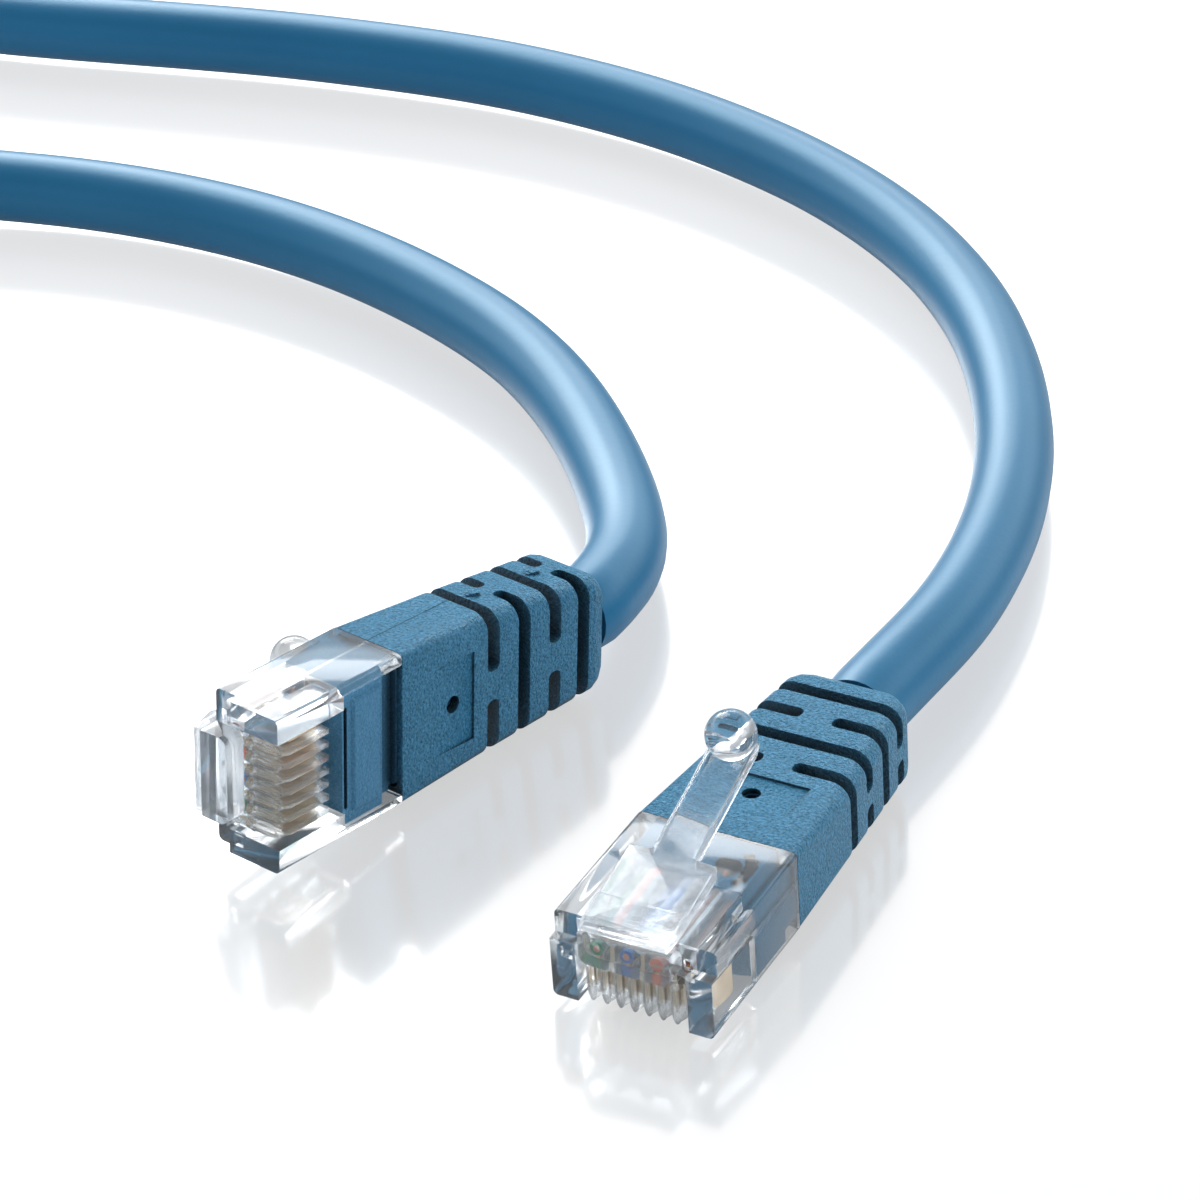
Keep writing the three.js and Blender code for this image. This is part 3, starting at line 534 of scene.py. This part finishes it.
def finish_piece(obj, name, place, body, paints, node_name):
    """Sets a copy of a piece at its place, on its body. Its point attribute says how far along the plug it is."""
    mesh = obj.data.copy()
    along = mesh.attributes.new("along", "FLOAT", "POINT")
    along.data.foreach_set("value", [v.co.x for v in mesh.vertices])
    mesh.transform(place)
    mesh.name = name
    shade(mesh)
    parts = [face.material_index for face in mesh.polygons]
    mesh.materials.clear()
    for paint in paints:
        mesh.materials.append(MATERIALS[paint])
    mesh.polygons.foreach_set("material_index", parts)
    made = linked(name, mesh)
    if node_name:
        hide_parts(node_name)
    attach(made, body)
    return made


# ---------------------------------------------------------------- plug sizes, as in the solids
# A plug's own frame: x from the boot to the nose, 0 at the prongs' front, y across the contacts,
# z from the contact side to the latch.
PLUG_WIDTH, PLUG_HEIGHT, HOUSING_LENGTH = 11.68, 6.35, 12.4
NOSE_STEP, PRONG_TOP, PRONG_INNER = 0.85, 4.55, 4.0
PITCH, CONTACT_THICKNESS = 1.016, 0.32
CONTACT_FRONT, CONTACT_REAR, CONTACT_EDGE = -1.3, -4.6, 0.55
FIN_REAR, FIN_FRONT, FIN_BOTTOM, FIN_THICKNESS = -5.04, -0.05, 0.07, 0.42
FIN_SIDE = [(FIN_REAR, FIN_BOTTOM), (FIN_FRONT - 1.1, FIN_BOTTOM), (FIN_FRONT - 0.45, FIN_BOTTOM + 0.25),
            (FIN_FRONT - 0.1, FIN_BOTTOM + 0.75), (FIN_FRONT, FIN_BOTTOM + 1.4)]
LEAF_SIDE = [(-0.39, 1.6), (-0.35, 0.95), (-0.26, 0.5), (-0.13, 0.24), (0, FIN_BOTTOM + 0.1),
             (0.13, 0.24), (0.26, 0.5), (0.35, 0.95), (0.39, 1.6)]
LEAF_REAR, LEAF_HALF = -0.95, 0.4
COMB_DEPTH = 3.0
PLATE_HALF, PLATE_LOW, PLATE_HIGH, PLATE_CORNER = 3.3, 3.9, 6.3, 0.75
NOSE_PLATE_REACH = 0.8
NOTCH_DEPTH, NOTCH_INNER, NOTCH_OUTER, NOTCH_LOW, NOTCH_HIGH = 0.35, 3.45, 3.9, 4.35, 5.1
LEVER_SIDE = [(0.75, 6.48), (0.75, 6.85), (0.55, 7.15), (0.2, 7.3), (-1.85, 7.83), (-2.1, 7.58), (-6.46, 8.58),
              (-6.46, 7.48), (-2.0, 6.68), (-1.3, 6.52), (-0.75, 6.48)]
STRAP_SIDE = [(-5.6, 8.3), (-6.46, 8.58), (-7.0, 8.79), (-15.4, 11.6), (-16.1, 11.5), (-16.2, 11.1),
              (-15.6, 10.6), (-6.46, 7.48), (-5.6, 7.4)]
LEVER_HALF, STRAP_HALF = 3.2, 1.55
BALL_RADIUS, BALL_CENTRE = 1.75, (-15.0, 0, 12.35)
WIRE_DIAMETER, WIRE_FRONT, WIRE_REAR, CORE_DIAMETER = 0.9, -1.22, -12.3, 0.46
LOWER_ROW, UPPER_ROW = 4.28, 5.18
CAVITY_FRONT, CAVITY_HALF, CAVITY_BOTTOM, CAVITY_TOP = -1.15, 4.3, 3.5, 5.95
BAR_LENGTH = 6.2
WINDOW_FRONT, WINDOW_HALF = -6.5, 5.05
MOULD_REAR, MOULD_STEP, MOULD_TOP_FRONT = -12.3, -10.65, -7.3
TAIL_REAR, TAIL_FRONT = -18.5, -12.42
PIN_HOLE_X, PIN_HOLE_RADIUS = -17.4, 0.65
# hollows in the mould's upper face, seen through the housing's top: (x, y, radius)
MOULD_HOLLOWS = [
    [(-9.4, 2.35, 0.92), (-9.75, 1.9, 0.6)],
    [(-10.9, 3.1, 0.38), (-10.45, 3.5, 0.46), (-9.9, 3.68, 0.48), (-9.3, 3.72, 0.46), (-8.7, 3.7, 0.42),
     (-8.15, 3.55, 0.34)],
]
# the boot: (x, half width, bottom, top, corner radius)
BOOT_SECTIONS = [
    (-32.85, 3.5, -0.75, 4.9, 1.2),
    (-32.5, 4.05, -1.05, 5.2, 1.4),
    (-32.0, 4.45, -1.28, 5.43, 1.4),
    (-31.4, 4.67, -1.38, 5.56, 1.4),
    (-20.74, 5.61, -0.48, 6.02, 1.4),
    (-17.0, 5.72, -0.26, 6.16, 1.0),
    (-12.4, 5.84, 0.0, 6.34, 0.5),
]
BOOT_RINGS = [-32.85, -32.72, -32.5, -32.25, -32.0, -31.7, -31.4, -28, -24, -20.74, -19, -17, -15.5, -14, -12.4]
SLOT_FRONTS = (-20.74, -23.74, -26.77, -29.58)
SLOT_WIDTH, SLOT_CORNER, TOP_WEB_HALF, SIDE_WEB_HALF = 1.15, 0.45, 1.15, 0.6
PANEL_FRONT, PANEL_REAR, PANEL_HALF, PANEL_DEPTH = -15.2, -19.4, 3.4, 0.17
PARTING_FRONT, PARTING_REAR, PARTING_HALF, PARTING_DEPTH = -12.5, -20.6, 0.04, 0.03
GATE_XS = (-22.7, -28.7)
# the torn lumps that a gate leaves: (along, up, radius, height)
GATE_LUMPS = ((0, 0, 0.42, 0.2), (0.35, 0.1, 0.26, 0.14), (-0.33, -0.12, 0.3, 0.16), (0.05, 0.3, 0.22, 0.12))
RUN_FRONT, RUN_REAR, RUN_DIAMETER = (-20.0, 0.0, 2.72), (-32.85, 0.0, 2.03), 4.4
WIRES = [("white", "green"), ("green",), ("white", "orange"), ("blue",),
         ("white", "blue"), ("orange",), ("white", "brown"), ("brown",)]


def contact_y(pin):
    """Pins are counted from 0, at the -y side."""
    return (pin - 3.5) * PITCH


def row_z(pin):
    """The wires lie in two staggered rows."""
    return LOWER_ROW if pin % 2 else UPPER_ROW


def make_housing():
    """Clear shell with two prongs, a nose plate, a comb of seven fins, slits for the contacts and a cavity."""
    half = PLUG_WIDTH / 2
    rear = -HOUSING_LENGTH + 0.05
    body = prism(rounded(-half, half, 0, PLUG_HEIGHT, 0.4, 4), rear, 0, "x")
    cut(body, block(-NOSE_STEP, 1, -half - 1, half + 1, PRONG_TOP, PLUG_HEIGHT + 1))
    cut(body, block(-NOSE_STEP, 1, -PRONG_INNER, PRONG_INNER, -1, PRONG_TOP + 1))
    cut(body, block(WINDOW_FRONT - 0.1, 1, -PRONG_INNER, PRONG_INNER, -1, COMB_DEPTH))
    cut(body, block(rear - 1, CAVITY_FRONT, -CAVITY_HALF, CAVITY_HALF, CAVITY_BOTTOM, CAVITY_TOP))
    cut(body, block(rear - 1, WINDOW_FRONT, -WINDOW_HALF, WINDOW_HALF, -1, CAVITY_BOTTOM + 0.05))
    curve = rounded(-PLATE_HALF, PLATE_HALF, PLATE_LOW, PLATE_HIGH + 1.5, PLATE_CORNER, 5)
    plate = [(-PLATE_HALF, PLATE_HIGH)] + [(u, v) for u, v in curve if v < 5] + [(PLATE_HALF, PLATE_HIGH)]
    add_to(body, prism(plate, -NOSE_STEP - 0.05, NOSE_PLATE_REACH, "x"))
    top = COMB_DEPTH + 0.05
    fin = FIN_SIDE + [(FIN_FRONT, top), (FIN_REAR, top)]
    leaf = [(-LEAF_HALF, top)] + LEAF_SIDE + [(LEAF_HALF, top)]
    for i in range(7):
        y = contact_y(i) + PITCH / 2
        add_to(body, prism(fin, y - FIN_THICKNESS / 2, y + FIN_THICKNESS / 2, "y"))
        add_to(body, prism([(u + y, v) for u, v in leaf], LEAF_REAR, FIN_FRONT - 0.2, "x"))
    slit, spare = CONTACT_THICKNESS / 2 + 0.08, 0.08
    for pin in range(8):
        y = contact_y(pin)
        cut(body, block(CONTACT_REAR - spare, CONTACT_FRONT + spare, y - slit, y + slit,
                        COMB_DEPTH - 0.1, CAVITY_BOTTOM + 0.1))
    for low, high in ((NOTCH_INNER, NOTCH_OUTER), (-NOTCH_OUTER, -NOTCH_INNER)):
        cut(body, block(-NOSE_STEP - NOTCH_DEPTH, 1, low, high, NOTCH_LOW, NOTCH_HIGH))
    cut(body, block(-0.35, 1, -5.05, -4.25, 3.3, 4.15))
    soften(body, 0.09, 2)
    for face in body.data.polygons:
        x, y, z = face.center
        if abs(y) < PRONG_INNER - 0.1 and x > FIN_REAR - 0.06 and z < COMB_DEPTH - 0.05:
            face.material_index = 1
        elif abs(y) < PLATE_HALF + 0.02 and x > -NOSE_STEP + 0.02 and z > PLATE_LOW - 0.1:
            face.material_index = 2
    return body


def make_lever():
    """A wide root, a narrow strap and a ball to press."""
    body = prism(LEVER_SIDE, -LEVER_HALF, LEVER_HALF, "y")
    add_to(body, prism(STRAP_SIDE, -STRAP_HALF, STRAP_HALF, "y"))
    soften(body, 0.18, 3)
    ball = bmesh.new()
    bmesh.ops.create_uvsphere(ball, u_segments=40, v_segments=24, radius=BALL_RADIUS)
    mesh = bpy.data.meshes.new("work")
    ball.to_mesh(mesh)
    ball.free()
    mesh.transform(Matrix.Translation(BALL_CENTRE))
    return add_to(body, linked("work", mesh))


def make_bar():
    """Holds the wire ends, with a slit for each contact."""
    front = CAVITY_FRONT - 0.05
    rear = front - BAR_LENGTH
    half = CAVITY_HALF - 0.1
    bar = block(rear, front, -half, half, CAVITY_BOTTOM + 0.1, CAVITY_TOP - 0.1)
    for pin in range(8):
        y, z = contact_y(pin), row_z(pin)
        cut(bar, prism(circle(WIRE_DIAMETER / 2 + 0.05, 20, y, z), rear - 1, front + 1, "x"))
        slit = CONTACT_THICKNESS / 2 + 0.08
        cut(bar, block(CONTACT_REAR - 0.1, CONTACT_FRONT + 0.1, y - slit, y + slit, CAVITY_BOTTOM, z))
    return bar


def make_contact(pin):
    """A blade with three teeth that pierce the wire."""
    tip = row_z(pin) - 0.05
    points = [(CONTACT_REAR, CONTACT_EDGE + 0.25), (CONTACT_REAR + 0.25, CONTACT_EDGE),
              (CONTACT_FRONT - 0.45, CONTACT_EDGE), (CONTACT_FRONT, CONTACT_EDGE + 0.45)]
    spacing = (CONTACT_FRONT - CONTACT_REAR - 0.5) / 2
    for tooth in range(3):
        front = CONTACT_FRONT - tooth * spacing
        points += [(front, 3.4), (front - 0.1, tip), (front - 0.4, tip), (front - 0.5, 3.4)]
    y, half = contact_y(pin), CONTACT_THICKNESS / 2
    return soften(prism(points, y - half, y + half, "y"), 0.04, 2)


def wire_path(pin):
    """Straight through the bar, then together to the mould."""
    y, z = contact_y(pin), row_z(pin)
    bundle = pin // 2 - 1.5
    bar_rear = CAVITY_FRONT - 0.1 - BAR_LENGTH
    drawn = catmull_rom([(bar_rear - 0.1, y, z), (bar_rear - 0.8, y, z), (WIRE_REAR + 1.2, bundle, z - 0.15),
                         (WIRE_REAR, bundle, z - 0.15)], 0.35)
    return [Vector((WIRE_FRONT, y, z))] + drawn


def make_wire(pin):
    """Insulated wire. A white one has a coloured stripe along it."""
    sides = 20
    wire = tube(list(reversed(wire_path(pin))), WIRE_DIAMETER, sides)
    if len(WIRES[pin]) == 2:
        for face in wire.data.polygons:
            if len(face.vertices) == 4 and (face.index - 2) % sides in (3, 4, 5, 6):
                face.material_index = 1
    return wire


def make_core(pin):
    """The wire's bare metal, which shows at its cut end."""
    y, z = contact_y(pin), row_z(pin)
    return tube([(WIRE_FRONT - 0.4, y, z), (WIRE_FRONT + 0.03, y, z)], CORE_DIAMETER, 16)


def pin_hole_cutters():
    """Where pins held the mould: a hole from above and one from below."""
    outline = circle(PIN_HOLE_RADIUS, 28, PIN_HOLE_X, 0)
    return [prism(outline, 4.25, 8, "z"), prism(outline, -2, 2.1, "z")]


def make_mould():
    """Fills the housing's window and rear and runs on as a tail in the boot."""
    half = WINDOW_HALF + 0.03
    front = WINDOW_FRONT - 0.1
    body = block(MOULD_STEP, front, -half, half, 0.3, 3.3)
    cut(body, prism(rounded(-7.1, -6.8, -3.9, 3.9, 0.14, 3), -1, 1.2, "z"))
    pad_rear, pad_front, pad_half = -10.4, -7.5, 4.3
    rings = [
        [(x, y, z) for x, y in ((pad_rear + d, -pad_half + d), (pad_front - d, -pad_half + d),
                                (pad_front - d, pad_half - d), (pad_rear + d, pad_half - d))]
        for d, z in ((0.22, 0.08), (0.0, 0.3), (0.0, 0.6))
    ]
    add_to(body, loft(rings))
    add_to(body, block(MOULD_REAR, MOULD_STEP + 0.1, -half, half, 1.2, 3.3))
    add_to(body, block(TAIL_FRONT - 0.1, MOULD_REAR + 0.1, -half + 0.4, half - 0.4, 1.2, 3.3))
    add_to(body, prism(rounded(-4.6, 4.6, 0.65, 5.45, 0.5), TAIL_REAR, TAIL_FRONT, "x"))
    for cutter in pin_hole_cutters():
        cut(body, cutter)
    # above, it fills the rear of the cavity round the wires, against the walls
    walls, roof = CAVITY_HALF + 0.03, CAVITY_TOP + 0.03
    add_to(body, block(MOULD_REAR, MOULD_TOP_FRONT, -walls, walls, 3.2, roof))
    soften(body, 0.06, 2)
    for hollow in MOULD_HOLLOWS:
        cut(body, flat_lump(hollow, 5.56, 6.2))
    # painted shade: faces in the hollows take the near-black blue, faces against the housing's roof and walls the
    # darker blue
    under_roof, near_wall = CAVITY_TOP - 0.02, CAVITY_HALF - 0.03
    for face in body.data.polygons:
        x, y, z = face.center
        if x < MOULD_REAR - 0.05:
            continue
        if 5.5 < z < under_roof and abs(y) < CAVITY_HALF - 0.1 and x < MOULD_TOP_FRONT - 0.1:
            face.material_index = 2
        elif z > under_roof or abs(y) > near_wall and z > 0.5:
            face.material_index = 1
    return body


def flat_lump(discs, low, high):
    """Discs melted into one flat lump with a wavy edge."""
    lump = None
    for k, (x, y, radius) in enumerate(discs):
        ring = [(x + radius * (1 + 0.08 * math.sin(3 * a + k)) * math.cos(a), y + radius * math.sin(a))
                for a in (i * math.pi / 12 for i in range(24))]
        disc = prism(ring, low + 0.01 * k, high - 0.01 * k, "z")
        lump = add_to(lump, disc) if lump else disc
    return lump


def boot_section(x):
    """The boot's half width, bottom, top and corner radius at x, after x itself."""
    k = 0
    while k + 2 < len(BOOT_SECTIONS) and BOOT_SECTIONS[k + 1][0] < x:
        k += 1
    a, b = BOOT_SECTIONS[k], BOOT_SECTIONS[k + 1]
    t = (x - a[0]) / (b[0] - a[0])
    return [p + t * (q - p) for p, q in zip(a, b)]


def boot_ring(section, segments=10):
    """A ring of points round one section of the boot."""
    x, half, low, high, radius = section
    return [(x, u, v) for u, v in rounded(-half, half, low, high, radius, segments)]


def make_boot(gate_side):
    """Hollow in front for the tail of the mould, with a bore behind it for the jacket."""
    body = loft([boot_ring(boot_section(x)) for x in BOOT_RINGS])
    cut(body, prism(rounded(-4.75, 4.75, 0.5, 5.6, 0.5), TAIL_REAR - 0.15, TAIL_FRONT + 1.02, "x"))
    slope = (RUN_REAR[2] - RUN_FRONT[2]) / (RUN_REAR[0] - RUN_FRONT[0])
    bore = [(x, 0, RUN_FRONT[2] + (x - RUN_FRONT[0]) * slope) for x in (RUN_REAR[0] - 1, RUN_FRONT[0] + 0.15)]
    cut(body, tube(bore, RUN_DIAMETER + 0.3, 40))
    for cutter in pin_hole_cutters():
        cut(body, cutter)
    cut_panels(body)
    cut_slots(body)
    soften(body, 0.09, 3, 38)
    cut_parting_line(body, gate_side)
    add_gates(body, gate_side)
    return body


def cut_panels(body):
    """A shallow panel above and below, deeper towards the rear."""
    front, rear = boot_section(PANEL_FRONT), boot_section(PANEL_REAR)
    for side, k in ((1, 3), (-1, 2)):
        outline = [(PANEL_FRONT, front[k]), (PANEL_REAR, rear[k] - side * PANEL_DEPTH),
                   (PANEL_REAR, rear[k] + side * 2), (PANEL_FRONT, front[k] + side * 2)]
        cut(body, prism(outline, -PANEL_HALF, PANEL_HALF, "y"))


def cut_slots(body):
    """Rings of flex slots, held by webs above and below and at the sides in turn."""
    for index, front in enumerate(SLOT_FRONTS):
        rear = front - SLOT_WIDTH
        _, _, low, high, _ = boot_section((front + rear) / 2)
        middle = (low + high) / 2
        if index % 2 == 0:
            spans, axis = ((TOP_WEB_HALF, 9), (-9, -TOP_WEB_HALF)), "z"
        else:
            spans, axis = ((middle + SIDE_WEB_HALF, middle + 9), (middle - 9, middle - SIDE_WEB_HALF)), "y"
        for start, end in spans:
            cut(body, prism(rounded(rear, front, start, end, SLOT_CORNER), -9, 9, axis))


def cut_parting_line(body, side):
    """A fine line where the mould's halves met."""
    front, rear = boot_section(PARTING_FRONT), boot_section(PARTING_REAR)
    middle = (front[2] + front[3]) / 2
    groove = [(PARTING_FRONT, side * (front[1] - PARTING_DEPTH)), (PARTING_REAR, side * (rear[1] - PARTING_DEPTH)),
              (PARTING_REAR, side * 9), (PARTING_FRONT, side * 9)]
    cut(body, prism(groove, middle - PARTING_HALF, middle + PARTING_HALF, "z"))


def add_gates(body, side):
    """What is left of the moulding gates: small torn lumps."""
    for x in GATE_XS:
        _, half, low, high, _ = boot_section(x)
        middle = (low + high) / 2
        for k, (along, up, radius, height) in enumerate(GATE_LUMPS):
            low_ring, high_ring = [
                [(x + along + share * radius * math.cos(a * math.pi / 5 + k), side * (half + out),
                  middle + up + share * radius * math.sin(a * math.pi / 5 + k)) for a in range(10)]
                for share, out in ((1, -0.25), (0.62, height))
            ]
            add_to(body, loft([high_ring, low_ring] if side > 0 else [low_ring, high_ring]))


def make_run():
    """The jacket's run inside the boot."""
    return tube([RUN_REAR, RUN_FRONT], RUN_DIAMETER, 32)


# ---------------------------------------------------------------- placing the plugs
def plug_place(nose, heading, pitch, roll):
    """From a plug's own frame in millimetres to the scene. Angles in degrees, pitch up."""
    turn = (Matrix.Rotation(math.radians(heading), 4, "Z") @ Matrix.Rotation(-math.radians(pitch), 4, "Y")
            @ Matrix.Rotation(math.radians(roll), 4, "X"))
    return Matrix.Scale(MM, 4) @ Matrix.Translation(Vector(nose)) @ turn


# where each plug lies, and on which side its boot has the gates
PLUGS = {
    "a": (plug_place((16.35, -17.304, 0), -90, -2.53, 0), -1),
    "b": (plug_place((-11.22, -14.864, 7.4), -100.964, 5, 90), 1),
}
shared = {
    "plug_housing": (make_housing(), ("clear", "fins", "nose"), "clear_polycarbonate"),
    "load_bar": (make_bar(), ("bar",), "clear_polycarbonate"),
    "inner_mould": (make_mould(), ("mould", "buried", "hollow"), "blue_mould"),
    "jacket_run": (make_run(), ("jacket",), "blue_jacket"),
    "latch_lever": (make_lever(), ("lever",), "clear_polycarbonate"),
}
contacts = [make_contact(pin) for pin in range(8)]
wires = [make_wire(pin) for pin in range(8)]
cores = [make_core(pin) for pin in range(8)]
for letter, (place, gate_side) in PLUGS.items():
    for name, (obj, paints, slot) in shared.items():
        body = f"latch_{letter}" if name == "latch_lever" else "cable"
        finish_piece(obj, f"{name}_{letter}_skin", place, body, paints, f"{name}_{letter}")
    boot = make_boot(gate_side)
    finish_piece(boot, f"boot_{letter}_skin", place, "cable", ("boot",), f"boot_{letter}")
    bpy.data.objects.remove(boot)
    for pin, paints in enumerate(WIRES):
        colours, number = "_".join(paints), f"{pin + 1}_{letter}"
        finish_piece(contacts[pin], f"contact_{number}_skin", place, "cable", ("gold",),
                     f"contact_{number}")
        finish_piece(wires[pin], f"wire_{number}_skin", place, "cable", paints,
                     f"wire_{pin + 1}_{colours}_{letter}")
        finish_piece(cores[pin], f"wire_core_{number}", place, "cable", ("copper",), None)
for obj in [entry[0] for entry in shared.values()] + contacts + wires + cores:
    bpy.data.objects.remove(obj)


# ---------------------------------------------------------------- the tie round the coil
def add_tie():
    """A strap round all the turns where they pass its place, with the lapped end on top."""
    radii = []
    angle = TIE_ANGLE
    while angle <= COIL_START + COIL_SWEEP:
        p = coil_point(angle)
        radii.append(math.hypot(p.x - COIL_CENTRE[0], p.y - COIL_CENTRE[1]))
        angle += 360
    inner, outer = min(radii) - 3.75, max(radii) + 3.4
    low, high = REST + TIE_LIFT - 3.4, REST + TIE_LIFT + COIL_LAYER + 3.4
    t, half = TIE_THICKNESS, TIE_WIDTH / 2
    ring = prism(rounded(inner - t, outer + t, low - t, high + t, 2.4, 8), -half, half, "y")
    cut(ring, prism(rounded(inner, outer, low, high, 1.7, 8), -TIE_WIDTH, TIE_WIDTH, "y"))
    middle = (inner + outer) / 2
    add_to(ring, block(middle - 4, middle + 4, -half, half, high + t - 0.1, high + t + 0.8))
    soften(ring, 0.18, 2)
    place = (Matrix.Scale(MM, 4) @ Matrix.Translation((COIL_CENTRE[0], COIL_CENTRE[1], 0))
             @ Matrix.Rotation(math.radians(TIE_ANGLE), 4, "Z"))
    made = finish_piece(ring, "coil_tie_skin", place, "cable", ("strap",), "coil_tie")
    bpy.data.objects.remove(ring)
    return made


tie = add_tie()


# ---------------------------------------------------------------- floor, backdrop and light
FLOOR_HALF, FLOOR_DROP = 6.0, 0.0006
# share of the floor's mirror near the object and further off, and the distances between which it falls
MIRROR_NEAR, MIRROR_FAR, MIRROR_SPAN = 0.28, 0.13, (0.03, 0.1)
# light from the sky by height (0 to 1), and how it falls off in front of the object and to each side
SKY = [(0.0, 0.35), (0.13, 0.8), (0.24, 2.2), (0.4, 2.8), (0.54, 1.1), (0.75, 0.6), (1.0, 0.5)]
FRONT_LEVEL, LEFT_LEVEL, RIGHT_LEVEL = 0.32, 1.15, 1.0
FRONT_TONE, BACK_TONE = (0.5, 0.76, 1.0, 1), (0.97, 0.985, 1.0, 1)


def add_floor():
    """White to the camera, dimmer in what it lends to polished faces, and matt with shadows to other rays."""
    s = FLOOR_HALF
    mesh = bpy.data.meshes.new("floor")
    mesh.from_pydata([(-s, -s, 0), (s, -s, 0), (s, s, 0), (-s, s, 0)], [], [(0, 1, 2, 3)])
    floor = linked("floor", mesh)
    floor.location.z = -FLOOR_DROP
    material, tree, shader = new_material("floor_white")
    tree.nodes.remove(shader)
    matt = node(tree, "ShaderNodeBsdfDiffuse", Color=(0.86, 0.86, 0.86, 1)).outputs[0]
    white = node(tree, "ShaderNodeEmission", Color=(1, 1, 1, 1), Strength=1.0).outputs[0]
    grey = node(tree, "ShaderNodeEmission", Color=(1, 1, 1, 1), Strength=0.38).outputs[0]
    mirror = node(tree, "ShaderNodeBsdfGlossy", Color=(1, 1, 1, 1), Roughness=0.13).outputs[0]
    path = tree.nodes.new("ShaderNodeLightPath").outputs
    seen = worked_out(tree, "MAXIMUM", path["Is Camera Ray"], path["Is Glossy Ray"])
    seen = worked_out(tree, "MAXIMUM", seen, path["Is Transmission Ray"])
    lit = mixed_shader(tree, path["Is Glossy Ray"], white, grey)
    pale = mixed_shader(tree, 0.18, lit, matt)
    away = node(tree, "ShaderNodeVectorMath")
    away.operation = "LENGTH"
    tree.links.new(object_coords(tree), away.inputs[0])
    share = ramp_of(tree, away.outputs["Value"], *MIRROR_SPAN, MIRROR_NEAR, MIRROR_FAR)
    polished = mixed_shader(tree, share, pale, mirror)
    surface = mixed_shader(tree, seen, matt, polished)
    tree.links.new(surface, tree.nodes["Material Output"].inputs["Surface"])
    mesh.materials.append(material)


def area_light(name, place, size, power):
    """A softbox that looks at the plugs. Its place is right, away and up as the camera sees it."""
    data = bpy.data.lights.new(name, "AREA")
    data.shape = "RECTANGLE"
    data.size, data.size_y = size
    data.energy = power
    light = linked(name, data)
    light.location = Matrix.Rotation(CAMERA_TURN, 3, "Z") @ Vector(place)
    light.rotation_euler = (Vector((0, 0.03, 0)) - light.location).to_track_quat("-Z", "Y").to_euler()


def add_world():
    """White backdrop low behind the object, dark studio in front of it."""
    world = bpy.data.worlds.new("studio")
    world.use_nodes = True
    bpy.context.scene.world = world
    tree = world.node_tree
    background = tree.nodes["Background"]
    coords = tree.nodes.new("ShaderNodeTexCoord")
    turned = node(tree, "ShaderNodeMapping")
    turned.inputs["Rotation"].default_value = (0, 0, -CAMERA_TURN)
    split = tree.nodes.new("ShaderNodeSeparateXYZ")
    tree.links.new(coords.outputs["Generated"], turned.inputs["Vector"])
    tree.links.new(turned.outputs["Vector"], split.inputs["Vector"])
    behind = ramp_of(tree, split.outputs["Y"], -0.35, 0.45, FRONT_LEVEL, 1.0)
    tone = tree.nodes.new("ShaderNodeMix")
    tone.data_type = "RGBA"
    tone.inputs["A"].default_value = FRONT_TONE
    tone.inputs["B"].default_value = BACK_TONE
    tree.links.new(behind, tone.inputs["Factor"])
    tree.links.new(tone.outputs["Result"], background.inputs["Color"])
    height = tree.nodes.new("ShaderNodeValToRGB")
    height.color_ramp.interpolation = "EASE"
    stops = height.color_ramp.elements
    for place, level in SKY[1:-1]:
        stops.new(place)
    for stop, (place, level) in zip(stops, SKY):
        stop.position = place
        stop.color = (level, level, level, 1)
    tree.links.new(split.outputs["Z"], height.inputs["Fac"])
    across = ramp_of(tree, split.outputs["X"], -0.5, 0.5, LEFT_LEVEL, RIGHT_LEVEL)
    level = worked_out(tree, "MULTIPLY", behind, height.outputs["Color"])
    level = worked_out(tree, "MULTIPLY", level, across)
    tree.links.new(level, background.inputs["Strength"])


add_floor()
add_world()
area_light("back_soft", (-0.3, 0.73, 0.62), (0.5, 0.6), 6.5)
area_light("back_strip", (-0.07, 0.92, 0.41), (0.56, 0.2), 1.6)
area_light("right_fill", (0.8, -0.45, 0.4), (0.5, 0.4), 3.4)
area_light("left_soft", (-0.36, 0.87, 0.31), (0.3, 0.24), 0.9)
bpy.context.scene.view_settings.view_transform = "Standard"
